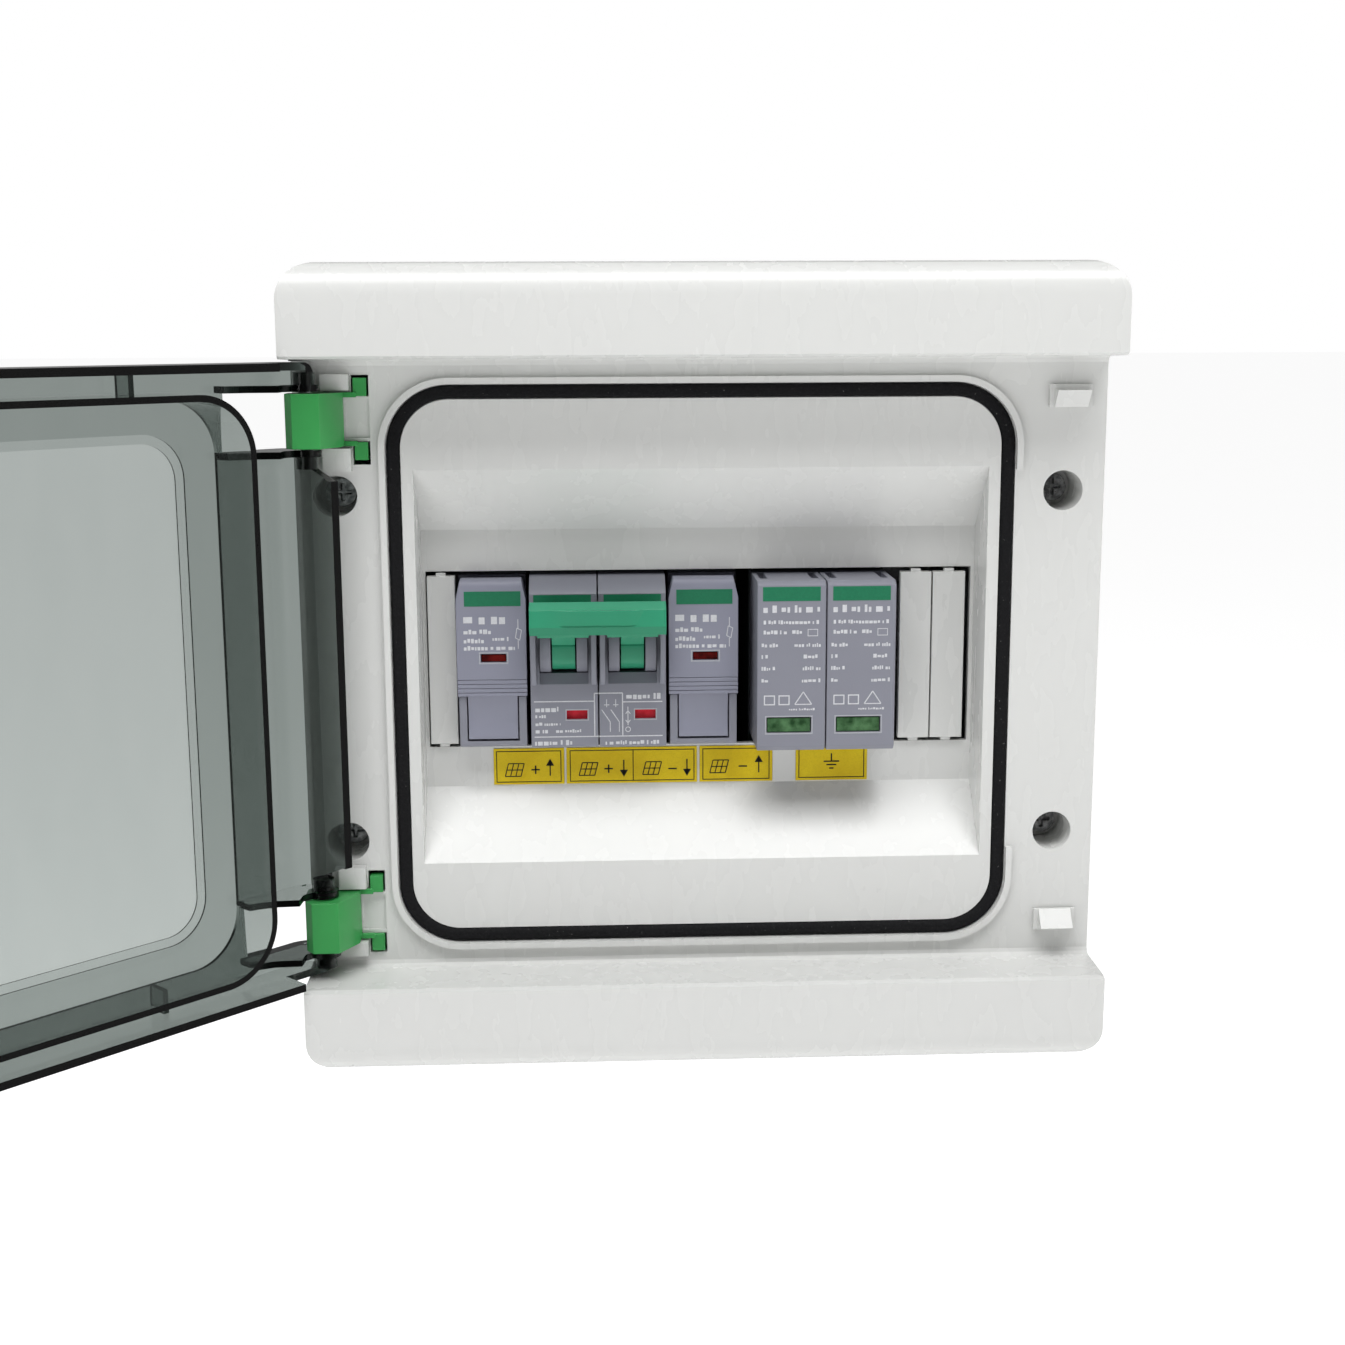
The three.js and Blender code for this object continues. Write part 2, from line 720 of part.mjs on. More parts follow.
["left", "right"].forEach((side, i) => {
  const x = FUSE_X[i];
  add("fuse_base_" + side, fuseBase(x), COLOUR.device);
  add("fuse_carrier_" + side, fuseCarrier(x), COLOUR.carrier);
  add("fuse_link_" + side, fuseLink(x), COLOUR.ceramic, 0.4);
  add("fuse_lamp_" + side, fuseLamp(x), COLOUR.lamp, 0.2);
  add("rail_clip_fuse_" + side, railClip(x, FUSE_SHOULDER), COLOUR.clip);
});

// ---- isolator ----
const HUB = [-68.5, 4];
const HUB_R = 6.3;
const DRUM_R = 7.1;
const HUB_HALF = 3.0;
const POLE_SHOULDER = 42;
const FLAG_DX = 3.3;
const FLAG_Z = [-15.1, -12.6];
const BAR_OUTLINE = [
  [-84.4, 9.2],
  [-80.2, 8.9],
  [-77.8, 13.4],
  [-78.2, 16.9],
  [-82.0, 17.5],
  [-84.6, 15.7],
  [-85.4, 11.4],
];

function isolatorPole(x) {
  const outline = moduleOutline(
    POLE_SHOULDER,
    [
      [SHOULDER_Y, NOSE_Z],
      [-67.5, NOSE_Z],
      [NOSE_Y, 18.6],
    ],
    [
      [NOSE_Y, -NOSE_Z],
      [SHOULDER_Y, -NOSE_Z],
    ],
  );
  const half = MODULE_W / 2;
  const body = prismYZ(outline.reverse(), x - half, x + half);
  const fx = x + FLAG_DX;
  const cuts = [
    box(x - 6.4, x + 6.4, NOSE_Y - 1, -66, -2.9, 14),
    prismYZ(
      [
        [NOSE_Y - 1, -7.1],
        [NOSE_Y, -5.6],
        [-71.3, -2.9],
        [-71.3, 1],
        [NOSE_Y - 1, 1],
      ],
      x - 6.4,
      x + 6.4,
    ),
    box(fx - 2.75, fx + 2.75, NOSE_Y - 1, NOSE_Y + 2, FLAG_Z[0], FLAG_Z[1]),
    box(fx - 3.3, fx + 3.3, NOSE_Y + 1, NOSE_Y + 3.2, -19.4, -8.9),
    ...terminalCuts(x, POLE_SHOULDER, [-4, 4]),
  ];
  const parts = [without(body, cuts)];
  for (const s of [-1, 1]) {
    const [a, b] = s > 0 ? [x + 3.4, x + 6.2] : [x - 6.2, x - 3.4];
    parts.push(rod("x", DRUM_R, a, b, HUB[0], HUB[1], 28));
    const [c, d] = s > 0 ? [x + 7.2, x + 8.5] : [x - 8.5, x - 7.2];
    parts.push(
      prismYZ(
        [
          [NOSE_Y + 0.5, -5.6],
          [NOSE_Y + 0.5, 12.6],
          [-77.2, 11.2],
          [-78.6, 8],
          [-78.6, 1],
          [-77, -3.6],
          [-74.2, -5.6],
        ].reverse(),
        c,
        d,
      ),
    );
  }
  const slot = rod("x", HUB_R + 0.3, x - 3.35, x + 3.35, HUB[0], HUB[1], 28);
  return joined([...parts, ...clipRails(x, POLE_SHOULDER)]).subtract(slot);
}

// Hub and stem of one pole. The stem ends inside the tie bar.
function isolatorToggle(x) {
  const stem = prismYZ(
    [
      [-69.5, 9],
      [-72.9, 1.6],
      [-74.6, 5],
      [-81.2, 11.6],
      [-80.4, 14.4],
      [-78.6, 13.6],
      [-72, 9],
    ].reverse(),
    x - HUB_HALF,
    x + HUB_HALF,
  );
  return joined([rod("x", HUB_R, x - HUB_HALF, x + HUB_HALF, HUB[0], HUB[1], 32), stem]);
}

function tieBar() {
  const x0 = POLE_X[0] - MODULE_W / 2 + 0.3;
  const x1 = POLE_X[1] + MODULE_W / 2 - 0.3;
  const bar = prismYZ(BAR_OUTLINE, x0, x1);
  const sockets = POLE_X.map((x) =>
    prismYZ(
      [
        [-76, 16.4],
        [-80.6, 15.0],
        [-81.8, 11.5],
        [-77.8, 5.4],
        [-74, 8],
      ],
      x - HUB_HALF - 0.3,
      x + HUB_HALF + 0.3,
    ),
  );
  const collars = POLE_X.map((x) =>
    prismYZ(
      [
        [-78.6, 13],
        [-81.5, 10.5],
        [-79.6, 7.8],
        [-76.9, 8.6],
      ],
      x - 6.6,
      x + 6.6,
    ),
  );
  return without(joined([bar, ...collars]), sockets);
}

function isolatorFlag(x) {
  const fx = x + FLAG_DX;
  return box(fx - 2.95, fx + 2.95, NOSE_Y + 1.4, NOSE_Y + 2.8, -15.7, -9.2);
}

["left", "right"].forEach((side, i) => {
  const x = POLE_X[i];
  add("isolator_pole_" + side, isolatorPole(x), COLOUR.device);
  add("isolator_toggle_" + side, isolatorToggle(x), COLOUR.toggle, 0.35);
  add("isolator_flag_" + side, isolatorFlag(x), COLOUR.flag, 0.4);
  add("rail_clip_isolator_" + side, railClip(x, POLE_SHOULDER), COLOUR.clip);
});
add("isolator_tie_bar", tieBar(), COLOUR.toggle, 0.35);

// ---- surge protector ----
const SPD_SHOULDER = 45;
const SPD_BASE_X = [13.75, 50.05];
const SPD_HALF_Z = 22.3;
const STATUS = { dx: -0.6, half: 5.8, z0: -17.4, z1: -13.3 };

function spdBase() {
  const [x0, x1] = SPD_BASE_X;
  const outline = moduleOutline(
    SPD_SHOULDER,
    [
      [SHOULDER_Y, SPD_HALF_Z + 2],
      [SHOULDER_Y, SPD_HALF_Z + 1.9],
    ],
    [
      [SHOULDER_Y, -SPD_HALF_Z - 1.9],
      [SHOULDER_Y, -SPD_HALF_Z - 2],
    ],
  );
  const body = prismYZ(outline.reverse(), x0, x1);
  const pocket = box(x0 + 0.7, x1 - 0.7, -58, -29.4, -SPD_HALF_Z - 0.35, SPD_HALF_Z + 0.35);
  const cuts = [pocket];
  for (const x of SPD_X) {
    cuts.push(...terminalCuts(x, SPD_SHOULDER, [0]));
    for (const z of [-14, 14]) {
      cuts.push(box(x - 1.1, x + 1.1, -30, -20.4, z - 3.6, z + 3.6));
    }
  }
  return joined([without(body, cuts), ...clipRails((x0 + x1) / 2, SPD_SHOULDER)]);
}

function spdCartridge(x) {
  const head = prismYZ(
    [
      [-57.7, -SPD_HALF_Z],
      [-57.7, SPD_HALF_Z],
      [-80.9, SPD_HALF_Z],
      [SPD_FRONT, 21.4],
      [SPD_FRONT, -21.1],
      [-81.3, -SPD_HALF_Z],
    ].reverse(),
    x - 8.9,
    x + 8.9,
  );
  const body = box(x - 8.0, x + 8.0, -58, -29.8, -SPD_HALF_Z, SPD_HALF_Z);
  const blades = [-14, 14].map((z) => box(x - 0.7, x + 0.7, -31, -21, z - 3.1, z + 3.1));
  const sx = x + STATUS.dx;
  const cuts = [
    box(
      sx - STATUS.half,
      sx + STATUS.half,
      SPD_FRONT - 1,
      SPD_FRONT + 1.6,
      STATUS.z0,
      STATUS.z1,
    ),
  ];
  for (const s of [-1, 1]) {
    cuts.push(
      box(x + s * 6.7 - 0.9, x + s * 6.7 + 0.9, -76.4, -64, SPD_HALF_Z - 1.6, SPD_HALF_Z + 1),
    );
  }
  return without(joined([head, body, ...blades]), cuts);
}

function spdWindow(x) {
  const sx = x + STATUS.dx;
  const h = STATUS.half - 0.2;
  return box(
    sx - h,
    sx + h,
    SPD_FRONT + 0.3,
    SPD_FRONT + 1.3,
    STATUS.z0 + 0.2,
    STATUS.z1 - 0.2,
  );
}

add("spd_base", spdBase(), COLOUR.clip);
["left", "right"].forEach((side, i) => {
  add("spd_cartridge_" + side, spdCartridge(SPD_X[i]), COLOUR.device);
  add("spd_window_" + side, spdWindow(SPD_X[i]), COLOUR.status, 0.2);
});
add(
  "rail_clip_spd",
  railClip((SPD_BASE_X[0] + SPD_BASE_X[1]) / 2, SPD_SHOULDER),
  COLOUR.clip,
);

// ---- blanking strips in the free width of the window ----
const BLANKS = [
  ["blank_strip_left", -71.8, -64.5],
  ["blank_strip_middle", 53.3, 61.6],
  ["blank_strip_right", 62.0, 70.6],
];
for (const [name, x0, x1] of BLANKS) {
  const plate = box(x0, x1, MASK_Y - 1.5, MASK_Y + 0.9, -22.5, 22.5);
  const flange = box(x0 + 1, x1 - 1, MASK_Y + 0.5, MASK_Y + 5, -21.5, 21.5);
  const hollow = box(x0 + 2, x1 - 2, MASK_Y + 0.9, MASK_Y + 6, -20.5, 20.5);
  const mid = (x0 + x1) / 2;
  const tabs = [
    box(mid - 1.3, mid + 1.3, MASK_Y - 1.2, MASK_Y + 0.6, 22.3, 23.3),
    box(mid - 1.3, mid + 1.3, MASK_Y - 1.2, MASK_Y + 0.6, -23.3, -22.3),
  ];
  add(name, joined([plate, flange.subtract(hollow), ...tabs]), COLOUR.housing, 0.45);
}

// ---- yellow labels on the mask below the window ----
const LABELS = [
  ["label_positive_in", -55.4, -36.5],
  ["label_output", -35.9, -0.8],
  ["label_negative_in", -0.1, 19.6],
  ["label_earth", 25.9, 45.3],
];
for (const [name, x0, x1] of LABELS) {
  add(name, box(x0, x1, MASK_Y - 0.3, MASK_Y - 0.05, -34.2, -24.3), COLOUR.label, 0.5);
}

// ---- earth bar and internal wiring ----
function earthBar() {
  const bar = box(-36, 36, -17, -10, -75.5, -68.5);
  const cuts = [];
  for (let i = 0; i < 7; i++) {
    const x = -27 + 9 * i;
    cuts.push(rod("z", 2.3, -72.5, -68, x, -13.5, 10));
    cuts.push(rod("y", 1.8, -17.5, -15.8, x, -72, 8));
  }
  return without(bar, cuts);
}
add("earth_bar", earthBar(), COLOUR.brass, 0.35, 1);

// Insulated wire along a smooth route.
function wire(points, r = 1.9, steps = 20) {
  const stops = points.map((p) => new THREE.Vector3(...p));
  const path = new THREE.CatmullRomCurve3(stops, false, "centripetal");
  const section = new THREE.Shape();
  for (let i = 0; i <= 8; i++) {
    const a = (i * Math.PI) / 4;
    const p = [r * Math.cos(a), r * Math.sin(a)];
    if (i) section.lineTo(...p);
    else section.moveTo(...p);
  }
  return toSolid(
    new THREE.ExtrudeGeometry(section, { steps, extrudePath: path, bevelEnabled: false }),
  );
}
const [F0, F1] = FUSE_X;
const [P0, P1] = POLE_X;
const [S0, S1] = SPD_X;
const TOP_FUSE = FUSE_SHOULDER - 7;
const TOP_POLE = POLE_SHOULDER - 7;
const TOP_SPD = SPD_SHOULDER - 7;
function arch(xa, za, xb, zb, peak, y) {
  return [
    [xa, -38, za],
    [xa, -38, za + 9],
    [xa + (xb - xa) * 0.08, (y - 38) / 2, peak - 5],
    [xa + (xb - xa) * 0.25, y, peak],
    [xa + (xb - xa) * 0.75, y, peak],
    [xb - (xb - xa) * 0.08, (y - 38) / 2, peak - 5],
    [xb, -38, zb + 9],
    [xb, -38, zb],
  ];
}
function earthRoute(x, xMid, xEnd) {
  return [
    [x, -38, -38],
    [x, -38, -48],
    [(x + xMid) / 2 + (x - xMid) * 0.3, -32, -57],
    [xMid, -16.5, -62],
    [xEnd, -13.5, -66],
    [xEnd, -13.5, -71.6],
  ];
}
const WIRES = [
  ["wire_positive_link", wire(arch(F0 + 4, TOP_FUSE, P0 - 4, TOP_POLE, 56, -38)), COLOUR.wireRed],
  ["wire_negative_link", wire(arch(P1 + 4, TOP_POLE, F1 - 4, TOP_FUSE, 56, -38)), COLOUR.wireBlack],
  [
    "wire_positive_surge",
    wire(arch(F0 - 4, TOP_FUSE, S0, TOP_SPD, 84, -22), 1.9, 26),
    COLOUR.wireRed,
  ],
  [
    "wire_negative_surge",
    wire(arch(F1 + 4, TOP_FUSE, S1, TOP_SPD, 72, -38), 1.9, 24),
    COLOUR.wireBlack,
  ],
  ["wire_earth_left", wire(earthRoute(S0, 18.2, 18), 1.9, 16), COLOUR.wireEarth],
  ["wire_earth_right", wire(earthRoute(S1, 27.6, 27), 1.9, 16), COLOUR.wireEarth],
];
for (const [name, solid, colour] of WIRES) add(name, solid, colour, 0.5);

export default group;
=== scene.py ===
"""DC combiner box: a moulded wall enclosure with a smoked door and four rail devices behind it.

Sizes in the shape functions are millimetres; a finished piece is scaled to metres once.
"""

import json
import math
import random

import bmesh
import bpy
from mathutils import Matrix, Vector


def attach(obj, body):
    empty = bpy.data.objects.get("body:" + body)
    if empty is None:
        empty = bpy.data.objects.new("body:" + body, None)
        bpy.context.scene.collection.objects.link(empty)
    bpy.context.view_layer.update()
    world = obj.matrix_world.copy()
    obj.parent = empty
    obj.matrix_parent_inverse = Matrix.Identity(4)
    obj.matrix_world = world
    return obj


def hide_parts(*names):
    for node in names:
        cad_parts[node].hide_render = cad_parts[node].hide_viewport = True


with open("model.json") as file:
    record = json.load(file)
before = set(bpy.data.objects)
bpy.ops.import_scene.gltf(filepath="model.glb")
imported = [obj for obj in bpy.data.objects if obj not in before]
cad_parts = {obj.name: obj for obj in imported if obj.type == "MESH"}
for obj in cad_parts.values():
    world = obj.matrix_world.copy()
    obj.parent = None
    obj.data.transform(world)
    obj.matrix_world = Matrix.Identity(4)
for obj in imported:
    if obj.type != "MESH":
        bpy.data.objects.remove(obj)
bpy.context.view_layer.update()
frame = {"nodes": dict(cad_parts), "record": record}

MM = 0.001
RECORD = frame["record"]
BODY_OF = {
    node: body
    for body, members in RECORD["behaviour"]["bodies"].items()
    for node in members
}

# ---- enclosure sizes ----
HALF_W = 103.0
HALF_H = 102.3
DEPTH = 100.0
WALL = 2.6
CORNER_R = 9.0
BAR_R = 8.0
SPLIT_Y = -46.0
FIELD_Y = -81.6
BAR_Z = 79.4
BAR_FOOT_Z = 77.4
GAP = 0.3
MASK_Y = -65.8
MASK_T = 2.2
WELL_X = 73.2
WELL_Z = 51.4
MASK_Z = 34.5
WINDOW_X = 72.25
WINDOW_Z = 23.65
SEAL_X = 79.9
SEAL_Z = 72.7
SEAL_W = 3.5
SEAL_R = 16.0
LIP_W = 1.7
LIP_H = 1.7
SCREW_X = 92.4
SCREW_Z = 45.0
SCREW_SEAT_Y = -67.3
SCREW_WELL_R = 5.1

# ---- door sizes ----
DOOR_OPEN = 134.2
AXIS_X = -98.4
AXIS_Y = -89.3
DOOR_Z = 78.5
DOOR_FRONT = -99.8
DOOR_T = 2.2
DOOR_BACK = -83.2
PIN_R = 1.5
HINGE_Z = (64.3, -64.3)
HINGE_H = 13.4
PANE_X = 68.6
PANE_Z = 62.4
PANE_R = 11

# ---- device faces ----
NOSE_Y = -73.1
SPD_FRONT = -82.4
FUSE_X = {"left": -54.9, "right": 0.6}
POLE_X = {"left": -36.1, "right": -18.1}
SPD_X = {"left": 22.85, "right": 40.95}

SCREW_SPOTS = ((1, 1), (-1, 1), (-1, -1), (1, -1))

# ---- prints, in millimetres ----
INK_T = 0.06
PRINT_LIFT = 0.02
LABEL_T = 0.3


# ---------------------------------------------------------------- materials
class Surface:
    """A material under construction, with its Principled shader and object coordinates."""

    def __init__(self, name):
        self.material = bpy.data.materials.new(name)
        self.material.use_nodes = True
        self.nodes = self.material.node_tree.nodes
        self.links = self.material.node_tree.links
        self.nodes.clear()
        self.output = self.nodes.new("ShaderNodeOutputMaterial")
        self.shader = self.nodes.new("ShaderNodeBsdfPrincipled")
        self.link(self.shader.outputs["BSDF"], self.output.inputs["Surface"])
        self.place = self.nodes.new("ShaderNodeTexCoord").outputs["Object"]

    def link(self, source, target):
        self.links.new(source, target)

    def set(self, **values):
        """Puts constants on the shader's own sockets."""
        for key, value in values.items():
            self.shader.inputs[key.replace("_", " ")].default_value = value
        return self

    def stretched(self, scale):
        mapping = self.nodes.new("ShaderNodeMapping")
        mapping.inputs["Scale"].default_value = scale
        self.link(self.place, mapping.inputs["Vector"])
        return mapping.outputs["Vector"]

    def noise(self, scale, detail=3.0, roughness=0.55, stretch=None):
        node = self.nodes.new("ShaderNodeTexNoise")
        node.inputs["Scale"].default_value = scale
        node.inputs["Detail"].default_value = detail
        node.inputs["Roughness"].default_value = roughness
        source = self.stretched(stretch) if stretch else self.place
        self.link(source, node.inputs["Vector"])
        return node.outputs["Fac"]

    def cells(self, scale):
        node = self.nodes.new("ShaderNodeTexVoronoi")
        node.inputs["Scale"].default_value = scale
        self.link(self.place, node.inputs["Vector"])
        return node.outputs["Distance"]

    def mapped(self, value, low, high, new_low, new_high):
        node = self.nodes.new("ShaderNodeMapRange")
        self.link(value, node.inputs["Value"])
        for key, number in (
            ("From Min", low),
            ("From Max", high),
            ("To Min", new_low),
            ("To Max", new_high),
        ):
            node.inputs[key].default_value = number
        return node.outputs["Result"]

    def mixed(self, factor, first, second):
        node = self.nodes.new("ShaderNodeMix")
        node.data_type = "RGBA"
        self.link(factor, node.inputs["Factor"])
        for socket, colour in ((node.inputs["A"], first), (node.inputs["B"], second)):
            if isinstance(colour, tuple):
                socket.default_value = (*colour, 1.0)
            else:
                self.link(colour, socket)
        return node.outputs["Result"]

    def colour(self, socket):
        self.link(socket, self.shader.inputs["Base Color"])
        return self

    def gloss(self, socket):
        self.link(socket, self.shader.inputs["Roughness"])
        return self

    def relief(self, heights, distance):
        """Stacks bump nodes, the coarse height first."""
        normal = None
        for height, strength in heights:
            bump = self.nodes.new("ShaderNodeBump")
            bump.inputs["Strength"].default_value = strength
            bump.inputs["Distance"].default_value = distance
            self.link(height, bump.inputs["Height"])
            if normal:
                self.link(normal, bump.inputs["Normal"])
            normal = bump.outputs["Normal"]
        self.link(normal, self.shader.inputs["Normal"])
        return self


def shade(colour, amount):
    return tuple(max(0.0, min(1.0, c * amount)) for c in colour)


def moulded_plastic(name, colour, rough, grain=0.25, spread=0.06, specular=0.5):
    """Injection-moulded plastic: slow colour drift, fine eroded grain, uneven gloss."""
    s = Surface(name)
    drift = s.noise(28.0, 4.0)
    fine = s.noise(2600.0, 2.0, 0.6)
    flow = s.noise(160.0, 3.0, 0.5, (1.0, 1.0, 0.35))
    tone = s.mixed(
        s.mapped(drift, 0.3, 0.7, 0.0, 1.0),
        shade(colour, 1.0 - spread),
        shade(colour, 1.0 + spread * 0.5),
    )
    s.colour(s.mixed(s.mapped(flow, 0.35, 0.75, 0.0, 0.2), tone, shade(colour, 1.0 - 2.0 * spread)))
    s.gloss(s.mapped(flow, 0.2, 0.8, rough - 0.01, rough + 0.015))
    s.relief([(flow, 0.02), (fine, grain)], 0.04 * MM)
    s.set(Specular_IOR_Level=specular, IOR=1.5)
    return s.material


def foam_rubber():
    """Closed-cell foam cord: matt black, pitted, with pale dust in the pits."""
    s = Surface("foam_rubber")
    pits = s.cells(1500.0)
    dust = s.noise(1400.0, 2.0, 0.7)
    fleck = s.mapped(dust, 0.70, 0.76, 0.0, 1.0)
    s.colour(s.mixed(fleck, (0.009, 0.009, 0.010), (0.16, 0.16, 0.155)))
    s.gloss(s.mapped(pits, 0.0, 0.8, 0.72, 0.95))
    s.relief([(dust, 0.35), (pits, 0.8)], 0.18 * MM)
    return s.set(IOR=1.45, Specular_IOR_Level=0.25).material


def smoked_clear():
    """Smoke-tinted polycarbonate: clear skin, tint held in the thickness of the wall."""
    s = Surface("smoked_clear")
    ripple = s.noise(45.0, 2.0, 0.4)
    smear = s.noise(90.0, 4.0, 0.6, (1.0, 1.0, 0.3))
    s.colour(s.mixed(s.mapped(smear, 0.4, 0.8, 0.0, 1.0), (0.97, 0.985, 0.975), (0.93, 0.95, 0.94)))
    s.gloss(s.mapped(smear, 0.35, 0.8, 0.012, 0.06))
    s.relief([(ripple, 0.06)], 0.2 * MM)
    s.set(Transmission_Weight=1.0, IOR=1.5)
    tint = s.nodes.new("ShaderNodeVolumeAbsorption")
    tint.inputs["Color"].default_value = (0.05, 0.125, 0.095, 1.0)
    tint.inputs["Density"].default_value = 590.0
    s.link(tint.outputs["Volume"], s.output.inputs["Volume"])
    return s.material


def plated_steel():
    """Zinc-plated steel with a brushed streak and dull spots."""
    s = Surface("plated_steel")
    streak = s.noise(60.0, 5.0, 0.65, (0.05, 1.0, 14.0))
    spots = s.noise(260.0, 4.0, 0.6)
    s.colour(s.mixed(s.mapped(spots, 0.35, 0.7, 0.0, 1.0), (0.50, 0.51, 0.52), (0.30, 0.30, 0.31)))
    s.gloss(s.mapped(streak, 0.25, 0.75, 0.26, 0.46))
    s.relief([(streak, 0.12)], 0.05 * MM)
    return s.set(Metallic=1.0).material


def screw_steel():
    """Darkened machine-screw steel, with worn brighter patches."""
    s = Surface("screw_steel")
    wear = s.noise(700.0, 4.0, 0.6)
    turned = s.noise(1500.0, 2.0, 0.5)
    s.colour(s.mixed(s.mapped(wear, 0.42, 0.62, 0.0, 1.0), (0.20, 0.205, 0.21), (0.48, 0.48, 0.49)))
    s.gloss(s.mapped(wear, 0.3, 0.7, 0.42, 0.26))
    s.relief([(turned, 0.15)], 0.04 * MM)
    return s.set(Metallic=1.0).material


def brass():
    s = Surface("brass")
    streak = s.noise(70.0, 5.0, 0.6, (0.08, 1.0, 10.0))
    patina = s.noise(120.0, 4.0, 0.6)
    s.colour(s.mixed(s.mapped(patina, 0.35, 0.7, 0.0, 1.0), (0.72, 0.53, 0.24), (0.46, 0.32, 0.14)))
    s.gloss(s.mapped(streak, 0.25, 0.75, 0.24, 0.42))
    s.relief([(streak, 0.12)], 0.04 * MM)
    return s.set(Metallic=1.0).material


def tinted_lens(name, colour, deep):
    """Small moulded lens: glossy, a darker core and a faint prism pattern behind the skin."""
    s = Surface(name)
    prisms = s.cells(1400.0)
    cloud = s.noise(420.0, 3.0, 0.5)
    s.colour(s.mixed(s.mapped(cloud, 0.3, 0.7, 0.0, 1.0), deep, colour))
    s.gloss(s.mapped(prisms, 0.0, 0.8, 0.10, 0.22))
    s.relief([(prisms, 0.10)], 0.06 * MM)
    s.set(Coat_Weight=0.15, Coat_Roughness=0.08, IOR=1.45, Specular_IOR_Level=0.25)
    return s.material


def capped_fuse():
    """Ceramic tube between two plated end caps; the caps begin at fixed heights of the link."""
    s = Surface("capped_fuse")
    axes = s.nodes.new("ShaderNodeSeparateXYZ")
    s.link(s.place, axes.inputs["Vector"])
    low_cap = s.mapped(axes.outputs["Z"], -7.9 * MM, -8.0 * MM, 0.0, 1.0)
    high_cap = s.mapped(axes.outputs["Z"], 11.9 * MM, 12.0 * MM, 0.0, 1.0)
    both = s.nodes.new("ShaderNodeMath")
    both.operation = "MAXIMUM"
    s.link(low_cap, both.inputs[0])
    s.link(high_cap, both.inputs[1])
    cap = both.outputs["Value"]
    mottle = s.noise(300.0, 4.0, 0.6)
    tone = s.mixed(mottle, (0.80, 0.78, 0.72), (0.66, 0.63, 0.56))
    s.colour(s.mixed(cap, tone, (0.62, 0.62, 0.60)))
    s.link(cap, s.shader.inputs["Metallic"])
    s.gloss(s.mapped(mottle, 0.3, 0.7, 0.28, 0.42))
    s.relief([(mottle, 0.08)], 0.05 * MM)
    return s.material


def printed_ink(name, colour, rough=0.5):
    """Pad-printed ink: slightly uneven cover over the plastic grain."""
    s = Surface(name)
    cover = s.noise(1800.0, 3.0, 0.6)
    s.colour(s.mixed(s.mapped(cover, 0.3, 0.7, 0.0, 1.0), shade(colour, 0.86), colour))
    s.gloss(s.mapped(cover, 0.3, 0.7, rough - 0.05, rough + 0.1))
    s.relief([(cover, 0.12)], 0.02 * MM)
    return s.material


def label_film():
    """Yellow adhesive film: satin, faint print dither and edge yellowing."""
    s = Surface("label_film")
    dither = s.noise(3200.0, 2.0, 0.6)
    patch = s.noise(90.0, 3.0, 0.5)
    tone = s.mixed(s.mapped(patch, 0.35, 0.7, 0.0, 1.0), (0.66, 0.47, 0.006), (0.78, 0.59, 0.012))
    s.colour(s.mixed(s.mapped(dither, 0.45, 0.7, 0.0, 0.35), tone, (0.52, 0.36, 0.004)))
    s.gloss(s.mapped(dither, 0.3, 0.7, 0.34, 0.48))
    s.relief([(patch, 0.10), (dither, 0.08)], 0.03 * MM)
    return s.set(Specular_IOR_Level=0.2).material


def wire_sleeve(name, colour):
    s = Surface(name)
    drawn = s.noise(900.0, 2.0, 0.5)
    scuff = s.noise(140.0, 4.0, 0.6)
    s.colour(s.mixed(s.mapped(scuff, 0.4, 0.75, 0.0, 1.0), colour, shade(colour, 0.72)))
    s.gloss(s.mapped(scuff, 0.3, 0.7, 0.32, 0.5))
    s.relief([(drawn, 0.12)], 0.05 * MM)
    return s.material


